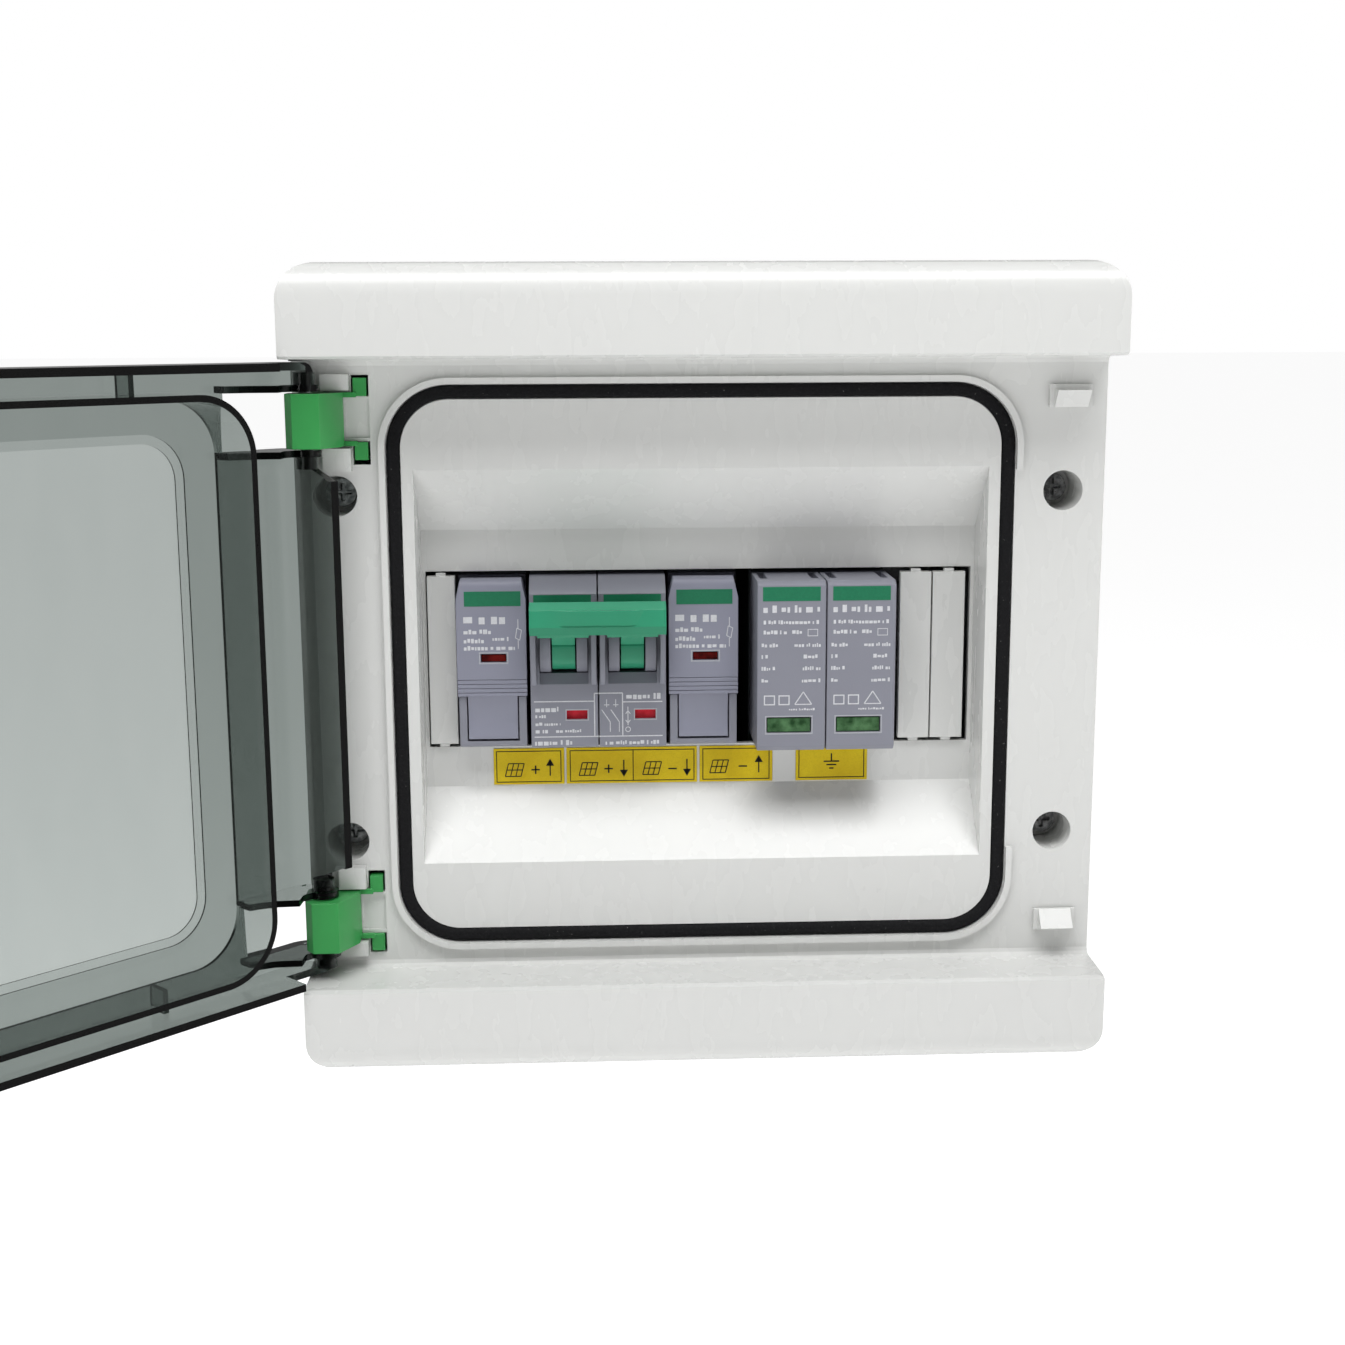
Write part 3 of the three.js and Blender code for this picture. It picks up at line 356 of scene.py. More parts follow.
MATERIAL = {
    "housing_plastic": moulded_plastic("housing_plastic", (0.70, 0.705, 0.69), 0.27, 0.03, 0.004),
    "seal_foam": foam_rubber(),
    "smoked_plastic": smoked_clear(),
    "hinge_plastic": moulded_plastic("hinge_plastic", (0.045, 0.34, 0.085), 0.26, 0.12, 0.10),
    "plated_steel": plated_steel(),
    "screw_steel": screw_steel(),
    "device_plastic": moulded_plastic("device_plastic", (0.245, 0.250, 0.295), 0.42, 0.55, 0.05, 0.4),
    "carrier_plastic": moulded_plastic("carrier_plastic", (0.262, 0.268, 0.335), 0.40, 0.50, 0.05, 0.4),
    "fuse_ceramic": capped_fuse(),
    "lamp_window": tinted_lens("lamp_window", (0.12, 0.006, 0.005), (0.03, 0.002, 0.002)),
    "toggle_plastic": moulded_plastic("toggle_plastic", (0.035, 0.30, 0.165), 0.30, 0.20, 0.08),
    "flag_plastic": tinted_lens("flag_plastic", (0.86, 0.035, 0.060), (0.62, 0.022, 0.038)),
    "status_window": tinted_lens("status_window", (0.085, 0.19, 0.085), (0.018, 0.055, 0.020)),
    "base_plastic": moulded_plastic("base_plastic", (0.018, 0.032, 0.026), 0.42, 0.5, 0.12),
    "clip_plastic": moulded_plastic("clip_plastic", (0.022, 0.023, 0.025), 0.45, 0.5, 0.12),
    "label_film": label_film(),
    "earth_brass": brass(),
    "wire_red": wire_sleeve("wire_red", (0.50, 0.022, 0.016)),
    "wire_black": wire_sleeve("wire_black", (0.016, 0.016, 0.018)),
    "wire_green": wire_sleeve("wire_green", (0.12, 0.36, 0.05)),
    "white_ink": printed_ink("white_ink", (0.66, 0.67, 0.70)),
    "green_ink": printed_ink("green_ink", (0.012, 0.20, 0.095), 0.38),
    "black_ink": printed_ink("black_ink", (0.014, 0.013, 0.012)),
    # Lighter grey laid as thin frames round the rims of recessed windows: a painted highlight standing
    # for the lit rims.
    "rim_highlight_paint": moulded_plastic("rim_highlight_paint", (0.40, 0.41, 0.45), 0.36, 0.3, 0.05),
}


# ---------------------------------------------------------------- solids in millimetres
def new_object(name, mesh):
    piece = bpy.data.objects.new(name, mesh)
    bpy.context.scene.collection.objects.link(piece)
    return piece


def arc(cu, cv, radius, start, stop, steps):
    points = []
    for i in range(steps + 1):
        a = math.radians(start + (stop - start) * i / steps)
        points.append((cu + radius * math.cos(a), cv + radius * math.sin(a)))
    return points


def rounded_outline(half_x, half_z, radius, steps=12):
    x = half_x - radius
    z = half_z - radius
    return [
        *arc(x, -z, radius, -90, 0, steps),
        *arc(x, z, radius, 0, 90, steps),
        *arc(-x, z, radius, 90, 180, steps),
        *arc(-x, -z, radius, 180, 270, steps),
    ]


def placed(axis, along, u, v):
    if axis == "x":
        return (along, u, v)
    if axis == "y":
        return (u, along, v)
    return (u, v, along)


def solid(bm, name="solid"):
    bmesh.ops.remove_doubles(bm, verts=bm.verts, dist=1e-5)
    bmesh.ops.recalc_face_normals(bm, faces=bm.faces)
    mesh = bpy.data.meshes.new(name)
    bm.to_mesh(mesh)
    bm.free()
    return new_object(name, mesh)


def prism(axis, outline, a, b):
    """A closed outline carried along an axis from a to b."""
    bm = bmesh.new()
    rims = [[bm.verts.new(placed(axis, along, u, v)) for u, v in outline] for along in (a, b)]
    bm.faces.new(rims[0])
    bm.faces.new(list(reversed(rims[1])))
    count = len(outline)
    for i in range(count):
        j = (i + 1) % count
        bm.faces.new((rims[0][i], rims[1][i], rims[1][j], rims[0][j]))
    return solid(bm)


def slab(half_x, half_z, radius, y0, y1, steps=12):
    return prism("y", rounded_outline(half_x, half_z, radius, steps), y0, y1)


def block(x0, x1, y0, y1, z0, z1):
    return prism("y", [(x0, z0), (x1, z0), (x1, z1), (x0, z1)], y0, y1)


def rod(axis, radius, a, b, u, v, steps=32):
    return prism(axis, arc(u, v, radius, 0, 360 - 360 / steps, steps - 1), a, b)


def baked(piece):
    """Replaces the mesh with its evaluated one and drops the modifiers."""
    graph = bpy.context.evaluated_depsgraph_get()
    mesh = bpy.data.meshes.new_from_object(piece.evaluated_get(graph))
    old = piece.data
    piece.modifiers.clear()
    piece.data = mesh
    bpy.data.meshes.remove(old)
    return piece


def joined_with(base, tools, operation):
    for tool in tools:
        modifier = base.modifiers.new("solid", "BOOLEAN")
        modifier.solver = "MANIFOLD"
        modifier.operation = operation
        modifier.object = tool
        baked(base)
        bpy.data.objects.remove(tool)
    return base


def union(base, tools):
    return joined_with(base, tools, "UNION")


def minus(base, tools):
    return joined_with(base, tools, "DIFFERENCE")


def common(base, tools):
    return joined_with(base, tools, "INTERSECT")


def ring(half_x, half_z, radius, width, y0, y1, steps=12):
    inner = slab(half_x - width, half_z - width, radius - width, y0 - 1, y1 + 1, steps)
    return minus(slab(half_x, half_z, radius, y0, y1, steps), [inner])


def mirrored_span(side, low, high):
    return (low, high) if side > 0 else (-high, -low)


# ---------------------------------------------------------------- finishing of pieces
def merged(mesh, distance, flat_angle):
    """Joins loose triangles into clean flat faces."""
    bm = bmesh.new()
    bm.from_mesh(mesh)
    bmesh.ops.remove_doubles(bm, verts=bm.verts, dist=distance)
    bmesh.ops.dissolve_degenerate(bm, edges=bm.edges, dist=distance)
    bmesh.ops.dissolve_limit(
        bm,
        angle_limit=math.radians(flat_angle),
        verts=bm.verts,
        edges=bm.edges,
    )
    bmesh.ops.recalc_face_normals(bm, faces=bm.faces)
    bm.to_mesh(mesh)
    bm.free()


def softened(piece, width, segments=2, angle=32.0):
    """Rounds every hard edge of a piece; width is in the piece's own unit."""
    mesh = piece.data
    mesh.shade_smooth()
    mesh.set_sharp_from_angle(angle=math.radians(angle))
    modifier = piece.modifiers.new("edges", "BEVEL")
    modifier.limit_method = "ANGLE"
    modifier.angle_limit = math.radians(angle)
    modifier.width = width
    modifier.segments = segments
    modifier.profile = 0.5
    modifier.use_clamp_overlap = True
    modifier.harden_normals = True
    modifier.miter_outer = "MITER_ARC"
    return baked(piece)


def dressed(piece, name, material, slot, body, *nodes):
    """Names a finished piece, gives it its material and ties it to the frame."""
    piece.name = name
    piece.data.name = name
    piece.data.materials.clear()
    piece.data.materials.append(MATERIAL[material])
    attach(piece, body)
    if nodes:
        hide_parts(*nodes)
    return piece


def to_metres(piece):
    piece.data.transform(Matrix.Scale(MM, 4))
    return piece


# Each table gives the first rule that a node's name starts with.
NODE_SLOTS = (
    ("cover_seal", "seal_foam"),
    ("door_seal", "seal_foam"),
    ("door", "smoked_plastic"),
    ("hinge", "hinge_plastic"),
    ("cover_screw", "plated_steel"),
    ("rail_screw", "plated_steel"),
    ("din_rail", "plated_steel"),
    ("fuse_base", "device_plastic"),
    ("isolator_pole", "device_plastic"),
    ("spd_cartridge", "device_plastic"),
    ("fuse_carrier", "carrier_plastic"),
    ("fuse_link", "fuse_ceramic"),
    ("fuse_lamp", "lamp_window"),
    ("isolator_toggle", "toggle_plastic"),
    ("isolator_tie", "toggle_plastic"),
    ("isolator_flag", "flag_plastic"),
    ("spd_window", "status_window"),
    ("spd_base", "base_plastic"),
    ("rail_clip", "clip_plastic"),
    ("label", "label_film"),
    ("earth_bar", "earth_brass"),
    ("wire_positive", "wire_red"),
    ("wire_negative", "wire_black"),
    ("wire_earth", "wire_green"),
)
NODE_MATERIAL = (
    ("cover_screw", "screw_steel"),
    ("rail_screw", "screw_steel"),
)
EDGE_WIDTH = (
    ("isolator_flag", 0.25),
    ("spd_window", 0.15),
    ("fuse_lamp", 0.15),
    ("fuse_link", 0.4),
    ("hinge", 0.7),
    ("catch", 0.45),
    ("blank", 0.5),
    ("label", 0.08),
    ("cover_screw", 0.25),
    ("rail_screw", 0.25),
    ("rail_clip", 0.3),
    ("din_rail", 0.25),
    ("earth_bar", 0.3),
)
REBUILT = (
    "front_cover",
    "back_box",
    "door",
    "cover_seal",
    "fuse_base",
    "fuse_carrier",
    "isolator_pole",
    "isolator_toggle",
    "isolator_tie_bar",
    "spd_base",
    "spd_cartridge",
)


def first_rule(node, table, otherwise):
    return next((value for rule, value in table if node.startswith(rule)), otherwise)


def refined(node):
    """A rounded, merged copy of a CAD node that stands for it."""
    copy = new_object(node + "_moulding", frame["nodes"][node].data.copy())
    merged(copy.data, 2e-6, 1.0)
    width = first_rule(node, EDGE_WIDTH, 0.0)
    if width:
        softened(copy, width * MM)
    else:
        copy.data.shade_smooth()
        copy.data.set_sharp_from_angle(angle=math.radians(50.0))
    slot = first_rule(node, NODE_SLOTS, "housing_plastic")
    material = first_rule(node, NODE_MATERIAL, slot)
    return dressed(copy, node + "_moulding", material, slot, BODY_OF[node], node)


for node_name in sorted(frame["nodes"]):
    if not node_name.startswith(REBUILT):
        refined(node_name)


# ---------------------------------------------------------------- housing
def housing(shell, node, segments, angle, width):
    """Cleans, rounds and scales a half of the housing, then ties it to its CAD node."""
    merged(shell.data, 1e-4, 0.5)
    softened(shell, width, segments, angle)
    to_metres(shell)
    finish = "housing_plastic"
    return dressed(shell, node + "_shell", finish, finish, "enclosure", node)


POST_R = 5.2
POST_BORE_R = 2.0
MOUNT_X = 78
MOUNT_Z = 84
MOUNT_R = 2.4
MOUNT_HEAD_R = 4.4
KNOCK_OUT_X = (-55.0, 0.0, 55.0)
KNOCK_OUT_Y = -24
KNOCK_OUT_R = 10.4
RING_W = 0.8


def post_and_mount(sx, sz):
    """A corner's screw post, and the bores through it and through the wall mount."""
    x = sx * SCREW_X
    z = sz * SCREW_Z
    mount = (sx * MOUNT_X, sz * MOUNT_Z)
    cuts = [
        rod("y", POST_BORE_R, SPLIT_Y - 1, -33, x, z),
        rod("y", MOUNT_R, -5, 1, *mount),
        rod("y", MOUNT_HEAD_R, -1.1, 1, *mount),
    ]
    return rod("y", POST_R, SPLIT_Y, -WALL + 0.5, x, z), cuts


def knock_out(x, z0, z1):
    """A thin ring that marks a cable entry in the top or bottom wall."""
    outer = rod("z", KNOCK_OUT_R, z0, z1, x, KNOCK_OUT_Y, 48)
    inner = rod("z", KNOCK_OUT_R - RING_W, z0 - 1, z1 + 1, x, KNOCK_OUT_Y, 48)
    return minus(outer, [inner])


def back_box():
    """Back half: open shell, screw posts, rail pads, mounting holes and knock-out rings."""
    inner = slab(HALF_W - WALL, HALF_H - WALL, CORNER_R - WALL, SPLIT_Y - 1, -WALL)
    shell = minus(slab(HALF_W, HALF_H, CORNER_R, SPLIT_Y, 0), [inner])
    parts = [ring(HALF_W - 2, HALF_H - 2, CORNER_R - 2, 3.4, -44, -41.6)]
    cuts = []
    for spot in SCREW_SPOTS:
        post, bores = post_and_mount(*spot)
        parts.append(post)
        cuts += bores
    for x in (-72.0, 72.0):
        parts.append(block(x - 5, x + 5, -5.3, -WALL + 0.5, -9, 9))
        cuts.append(rod("y", 1.9, -6, -3.1, x, 0))
    for x in (-35.0, 29.0):
        parts.append(block(x, x + 6, -9.7, -WALL + 0.5, -76, -68))
    for side in (-1, 1):
        z0, z1 = mirrored_span(side, HALF_H - 0.7, HALF_H + 1)
        cuts += [knock_out(x, z0, z1) for x in KNOCK_OUT_X]
    return housing(minus(union(shell, parts), cuts), "back_box", 2, 32.0, 0.45)


def cover_profile(inset, back, bar_edge, field_y, foot_z):
    """Side outline of the cover in (y, z): chin, recessed field and hood."""
    front = -DEPTH + inset
    top = HALF_H - inset
    r = BAR_R - inset
    upper = [
        (field_y, foot_z),
        (field_y - 0.5, foot_z + 0.9),
        (field_y - 1.5, foot_z + 1.6),
        (front + 1.2, bar_edge - 0.05),
        (front, bar_edge + 0.6),
        *arc(front + r, top - r, r, 180, 90, 14),
        (back, top),
    ]
    lower = [(y, -z) for y, z in reversed(upper)]
    return [*lower, *upper]


def hollow_profile(back):
    front = -DEPTH + WALL
    top = HALF_H - WALL
    r = BAR_R - WALL
    field_y = FIELD_Y + 2.4
    upper = [
        (field_y, BAR_FOOT_Z + 2.2),
        (front, BAR_Z + 2.5),
        *arc(front + r, top - r, r, 180, 90, 8),
        (back, top),
    ]
    lower = [(y, -z) for y, z in reversed(upper)]
    return [*lower, *upper]


def hinge_seats(parts, cuts):
    """Lugs above and below each hinge, and the slots for its snap ends."""
    for side in (-1, 1):
        for low, high in ((71.5, 75.4), (51.4, 57.1)):
            a, b = mirrored_span(side, low, high)
            parts.append(block(-95.2, -88.2, FIELD_Y - 3, FIELD_Y + 0.5, a, b))
        for low, high in ((69.9, 75.2), (52.9, 58.7)):
            a, b = mirrored_span(side, low, high)
            cuts.append(block(-87.9, -83.6, FIELD_Y - 0.4, FIELD_Y + 4, a, b))
        a, b = mirrored_span(side, 59.6, 69.0)
        cuts.append(block(-89.6, -83.6, FIELD_Y - 0.4, FIELD_Y + 0.7, a, b))
        a, b = mirrored_span(side, 67.4, 70.4)
        cuts.append(block(89.6, 97.4, FIELD_Y - 0.4, FIELD_Y + 4, a, b))


def cover_blank():
    """The hooded outer form, hollowed."""
    back = SPLIT_Y - GAP
    side = cover_profile(0, back, BAR_Z, FIELD_Y, BAR_FOOT_Z)
    outer = common(
        slab(HALF_W, HALF_H, CORNER_R, -DEPTH, back, 14),
        [prism("x", side, -HALF_W - 1, HALF_W + 1)],
    )
    hollow = common(
        slab(HALF_W - WALL, HALF_H - WALL, CORNER_R - WALL, -DEPTH, back + 1, 8),
        [prism("x", hollow_profile(back + 1), -HALF_W, HALF_W)],
    )
    return minus(outer, [hollow])


def funnel(half_x, y_front, z_front, y_back, z_back):
    """A form that narrows in height from its front to its back."""
    side = [(y_front, -z_front), (y_front, z_front), (y_back, z_back), (y_back, -z_back)]
    return prism("x", side, -half_x, half_x)


def seal_lip():
    """The raised lip round the seal, left open down most of its right side."""
    front = FIELD_Y - LIP_H
    outline = (SEAL_X + LIP_W, SEAL_Z + LIP_W, SEAL_R + LIP_W)
    lip = ring(*outline, LIP_W - 0.1, front, FIELD_Y + 0.5, 16)
    return minus(lip, [block(SEAL_X - 4, SEAL_X + 4, FIELD_Y - 4, FIELD_Y, -49, 50.5)])


def front_cover():
    """Front half: hood, chin, recessed field, well, window, screw wells and the raised lip."""
    blank = cover_blank()
    mask_back = MASK_Y + MASK_T
    parts = [
        funnel(WELL_X + 2.4, FIELD_Y + 1, WELL_Z + 3.6, mask_back, MASK_Z + 2),
        seal_lip(),
        ring(HALF_W - 2.4, HALF_H - 2.4, CORNER_R - 2.4, 2.6, -50, -46.6, 8),
    ]
    cuts = [
        funnel(WELL_X, FIELD_Y - 0.6, WELL_Z + 0.6, MASK_Y, MASK_Z),
        block(-WINDOW_X, WINDOW_X, MASK_Y - 1, mask_back + 1, -WINDOW_Z, WINDOW_Z),
        ring(SEAL_X, SEAL_Z, SEAL_R, SEAL_W + 0.2, FIELD_Y - 1, FIELD_Y + 1.4, 16),
    ]
    for sx, sz in SCREW_SPOTS:
        x = sx * SCREW_X
        z = sz * SCREW_Z
        parts.append(rod("y", 6.7, FIELD_Y + 0.5, -46.6, x, z))
        cuts.append(rod("y", SCREW_WELL_R, FIELD_Y - 1, SCREW_SEAT_Y, x, z, 48))
        cuts.append(rod("y", POST_BORE_R, SCREW_SEAT_Y - 1, -46, x, z))
    hinge_seats(parts, cuts)
    door_relief = [
        (-HALF_W - 1, FIELD_Y - 1),
        (-HALF_W + 5.4, FIELD_Y - 1),
        (-HALF_W + 5.4, FIELD_Y),
        (-HALF_W - 1, FIELD_Y + 3),
    ]
    cuts.append(prism("z", door_relief, -BAR_FOOT_Z - 1.6, BAR_FOOT_Z + 1.6))
    return housing(minus(union(blank, parts), cuts), "front_cover", 3, 24.0, 0.5)


back_box()
front_cover()


# ---------------------------------------------------------------- devices on the rail
MODULE_HALF = 8.8
NOSE_Z = 22.4
SHOULDER_Y = -57.0
FUSE_PIVOT = (-68.0, 15.0)
FUSE_SHOULDER = 40.0
FUSE_HEAD_HALF = 9.1
PIVOT_CLEAR_R = 8.3
LAMP_DX = 0.5
CARRIER_X = 6.5
LINK_R = 5.15
HUB = (-68.5, 4.0)
HUB_R = 6.3
DRUM_R = 7.1
HUB_HALF = 3.0
POLE_SHOULDER = 42.0
FLAG_DX = 3.3
SPD_SHOULDER = 45.0
SPD_BASE_X = (13.75, 50.05)
SPD_HALF_Z = 22.3
SPD_HEAD_HALF = 8.9
STATUS_DX = -0.6
TERMINAL_Y = -38
RECESS_HALF = 6.4
BAR_OUTLINE = [
    (-84.4, 9.2),
    (-80.2, 8.9),
    (-77.8, 13.4),
    (-78.2, 16.9),
    (-82.0, 17.5),
    (-84.6, 15.7),
    (-85.4, 11.4),
]


def module_outline(shoulder_z, nose):
    """Side outline in (y, z) of a module: foot and hook on the rail, shoulders, nose."""
    return [
        (-13.4, -shoulder_z),
        (-13.4, 17.8),
        (-11.8, 17.8),
        (-11.8, 14.8),
        (-9.6, 14.8),
        (-9.6, 22),
        (-13.4, 24),
        (-13.4, shoulder_z),
        (SHOULDER_Y + 3, shoulder_z),
        (SHOULDER_Y, shoulder_z - 3),
        *nose,
        (SHOULDER_Y, -shoulder_z + 3),
        (SHOULDER_Y + 3, -shoulder_z),
    ]


def terminal_cuts(x, shoulder_z, top_holes):
    """Wire entries above and below, and a slotted clamp screw in each shoulder."""
    top = (shoulder_z - 10, shoulder_z + 1)
    bottom = (-shoulder_z - 1, -shoulder_z + 10)
    cuts = [rod("z", 2.4, *top, x + dx, TERMINAL_Y, 20) for dx in top_holes]
    cuts.append(rod("z", 2.9, *bottom, x, TERMINAL_Y, 20))
    for side in (-1, 1):
        z = side * (shoulder_z - 9)
        head = rod("y", 2.8, SHOULDER_Y + 3.5, SHOULDER_Y + 8, x, z, 24)
        slot = block(x - 3, x + 3, SHOULDER_Y + 3, SHOULDER_Y + 4.7, z - 0.5, z + 0.5)
        recess = rod("y", 3.4, SHOULDER_Y - 1, SHOULDER_Y + 7, x, z, 24)
        cuts.append(minus(recess, [minus(head, [slot])]))
    return cuts


def clip_rails(x, shoulder_z):
    return [
        block(x - 6.6, x - 5, -13.6, -9.6, -shoulder_z + 3, -20),
        block(x + 5, x + 6.6, -13.6, -9.6, -shoulder_z + 3, -20),
    ]


def completed(piece, node, width, segments=2):
    """Cleans, rounds and scales a device piece, then ties it to its CAD node."""
    merged(piece.data, 1e-4, 0.5)
    softened(piece, width, segments, 28.0)
    to_metres(piece)
    slot = first_rule(node, NODE_SLOTS, "housing_plastic")
    return dressed(piece, node + "_moulding", slot, slot, BODY_OF[node], node)


def fuse_base(side):
    x = FUSE_X[side]
    nose = [
        (SHOULDER_Y, NOSE_Z),
        (-65.9, NOSE_Z),
        (-65.9, -8.9),
        (-72.2, -8.9),
        (-72.2, -NOSE_Z + 0.6),
        (-71.6, -NOSE_Z),
        (SHOULDER_Y, -NOSE_Z),
    ]
    body = prism("x", module_outline(FUSE_SHOULDER, nose), x - MODULE_HALF, x + MODULE_HALF)
    cuts = [
        block(x - CARRIER_X - 0.35, x + CARRIER_X + 0.35, -73, -52, -20.8, 21.3),
        rod("x", PIVOT_CLEAR_R, x - MODULE_HALF - 1, x + MODULE_HALF + 1, *FUSE_PIVOT, 40),
        *terminal_cuts(x, FUSE_SHOULDER, (-4, 4)),
    ]
    union(minus(body, cuts), clip_rails(x, FUSE_SHOULDER))
    return completed(body, "fuse_base_" + side, 0.3)


def fuse_carrier(side):
    """Swing-out head with its printed face, grip grooves, pull tab and fuse cradle."""
    x = FUSE_X[side]
    face = [
        (-66.2, -8.6),
        (-66.2, 22.0),
        (-69.4, 22.3),
        *arc(-70.9, 20.1, 2.2, 90, 180, 6)[1:],
        (NOSE_Y, -8.6),
    ]
    head = prism("x", face, x - FUSE_HEAD_HALF, x + FUSE_HEAD_HALF)
    for way in (-1, 1):
        corner = [
            (x + way * 7.5, 24.0),
            (x + way * 10.0, 24.0),
            (x + way * 10.0, 17.0),
            (x + way * FUSE_HEAD_HALF, 17.0),
        ]
        minus(head, [prism("y", corner, NOSE_Y - 1, -66.0)])
    tab_side = [
        (-66, -8),
        (NOSE_Y, -8),
        (-72.7, -9.2),
        (-72.0, -11.5),
        (-71.6, -14.5),
        (-71.7, -17.2),
        (-72.4, -20.2),
        (-66, -19.5),
    ]
    tab = prism("x", tab_side, x - CARRIER_X, x + CARRIER_X)
    cradle_side = [(-66.4, -20.0), (-62.0, -19.8), (-56.0, -18.4), (-56.0, 21.0), (-66.4, 21.0)]
    cradle = prism("x", cradle_side, x - CARRIER_X, x + CARRIER_X)
    minus(cradle, [block(x - LINK_R - 0.3, x + LINK_R + 0.3, -64.1, -52, -17.3, 22)])
    union(head, [tab, cradle])
    lamp_x = x + LAMP_DX
    cuts = [block(lamp_x - 3.35, lamp_x + 3.35, NOSE_Y - 1, NOSE_Y + 2, 0.5, 2.7)]
    for i in range(4):
        z = -4.2 - 1.15 * i
        groove = [(NOSE_Y - 1, z + 0.34), (NOSE_Y + 0.4, z), (NOSE_Y - 1, z - 0.34)]
        cuts.append(prism("x", groove, x - 10, x + 10))
    return completed(minus(head, cuts), "fuse_carrier_" + side, 0.3)


CHEEK_OUTLINE = [
    (NOSE_Y + 0.5, -5.6),
    (NOSE_Y + 0.5, 12.6),
    (-76.2, 12.0),
    (-77.9, 10.0),
    (-78.6, 7.4),
    (-78.6, 1.4),
    (-77.9, -1.4),
    (-76.4, -3.9),
    (-74.2, -5.6),
]


def drum_and_cheeks(x):
    """The two drum halves beside the toggle's hub, and the cheeks outside them."""
    parts = []
    for way in (-1, 1):
        a, b = sorted((x + way * 3.4, x + way * 6.2))
        parts.append(rod("x", DRUM_R, a, b, *HUB, 64))
        c, d = sorted((x + way * 7.2, x + way * 8.5))
        parts.append(prism("x", CHEEK_OUTLINE, c, d))
    return parts


def isolator_pole(side):
    """Pole housing: shoulders, recess with its two drum halves, cheeks, flag window."""
    x = POLE_X[side]
    nose = [
        (SHOULDER_Y, NOSE_Z),
        (-66.6, NOSE_Z),
        (-68.0, NOSE_Z - 0.4),
        (NOSE_Y + 0.6, 19.2),
        (NOSE_Y, 18.3),
        (NOSE_Y, -NOSE_Z),
        (SHOULDER_Y, -NOSE_Z),
    ]
    body = prism("x", module_outline(POLE_SHOULDER, nose), x - MODULE_HALF, x + MODULE_HALF)
    flag_x = x + FLAG_DX
    ramp = [
        (NOSE_Y - 1, -7.1),
        (NOSE_Y, -5.6),
        (-71.3, -2.9),
        (-71.3, 1),
        (NOSE_Y - 1, 1),
    ]
    cuts = [
        block(x - RECESS_HALF, x + RECESS_HALF, NOSE_Y - 1, -66, -2.9, 14),
        prism("x", ramp, x - RECESS_HALF, x + RECESS_HALF),
        block(flag_x - 2.75, flag_x + 2.75, NOSE_Y - 1, NOSE_Y + 2, -15.1, -12.6),
        block(flag_x - 3.3, flag_x + 3.3, NOSE_Y + 1, NOSE_Y + 3.2, -19.4, -8.9),
        *terminal_cuts(x, POLE_SHOULDER, (-4, 4)),
    ]
    minus(body, cuts)
    union(body, [*drum_and_cheeks(x), *clip_rails(x, POLE_SHOULDER)])
    minus(body, [rod("x", HUB_R + 0.3, x - 3.35, x + 3.35, *HUB, 64)])
    return completed(body, "isolator_pole_" + side, 0.28)


def isolator_toggle(side):
    x = POLE_X[side]
    stem_side = [
        (-69.5, 9),
        (-72.9, 1.6),
        (-74.6, 5),
        (-81.2, 11.6),
        (-80.4, 14.4),
        (-78.6, 13.6),
        (-72, 9),
    ]
    hub = rod("x", HUB_R, x - HUB_HALF, x + HUB_HALF, *HUB, 72)
    union(hub, [prism("x", stem_side, x - HUB_HALF, x + HUB_HALF)])
    return completed(hub, "isolator_toggle_" + side, 0.25)


def isolator_tie_bar():
    """Handle bar across both poles, with a raised grip facet along its middle."""
    x0 = POLE_X["left"] - MODULE_HALF + 0.3
    x1 = POLE_X["right"] + MODULE_HALF - 0.3
    bar_body = prism("x", BAR_OUTLINE, x0, x1)
    facet = [
        (x0 + 5.5, -84.6),
        (x0 + 9.5, -86.0),
        (x1 - 9.5, -86.0),
        (x1 - 5.5, -84.6),
    ]
    collar = [(-78.6, 13), (-81.5, 10.5), (-79.6, 7.8), (-76.9, 8.6)]
    parts = [prism("z", facet, 11.9, 15.7)]
    parts += [prism("x", collar, x - 6.6, x + 6.6) for x in POLE_X.values()]
    union(bar_body, parts)
    socket_side = [(-76, 16.4), (-80.6, 15.0), (-81.8, 11.5), (-77.8, 5.4), (-74, 8)]
    half = HUB_HALF + 0.3
    minus(bar_body, [prism("x", socket_side, x - half, x + half) for x in POLE_X.values()])
    return completed(bar_body, "isolator_tie_bar", 0.55, 3)


def spd_base():
    x0, x1 = SPD_BASE_X
    nose = [(SHOULDER_Y, SPD_HALF_Z + 2), (SHOULDER_Y, -SPD_HALF_Z - 2)]
    body = prism("x", module_outline(SPD_SHOULDER, nose), x0, x1)
    bay_z = SPD_HALF_Z + 0.35
    cuts = [block(x0 + 0.7, x1 - 0.7, -58, -29.4, -bay_z, bay_z)]
    for x in SPD_X.values():
        cuts += terminal_cuts(x, SPD_SHOULDER, (0,))
        for z in (-14, 14):
            cuts.append(block(x - 1.1, x + 1.1, -30, -20.4, z - 3.6, z + 3.6))
    union(minus(body, cuts), clip_rails((x0 + x1) / 2, SPD_SHOULDER))
    return completed(body, "spd_base", 0.35)


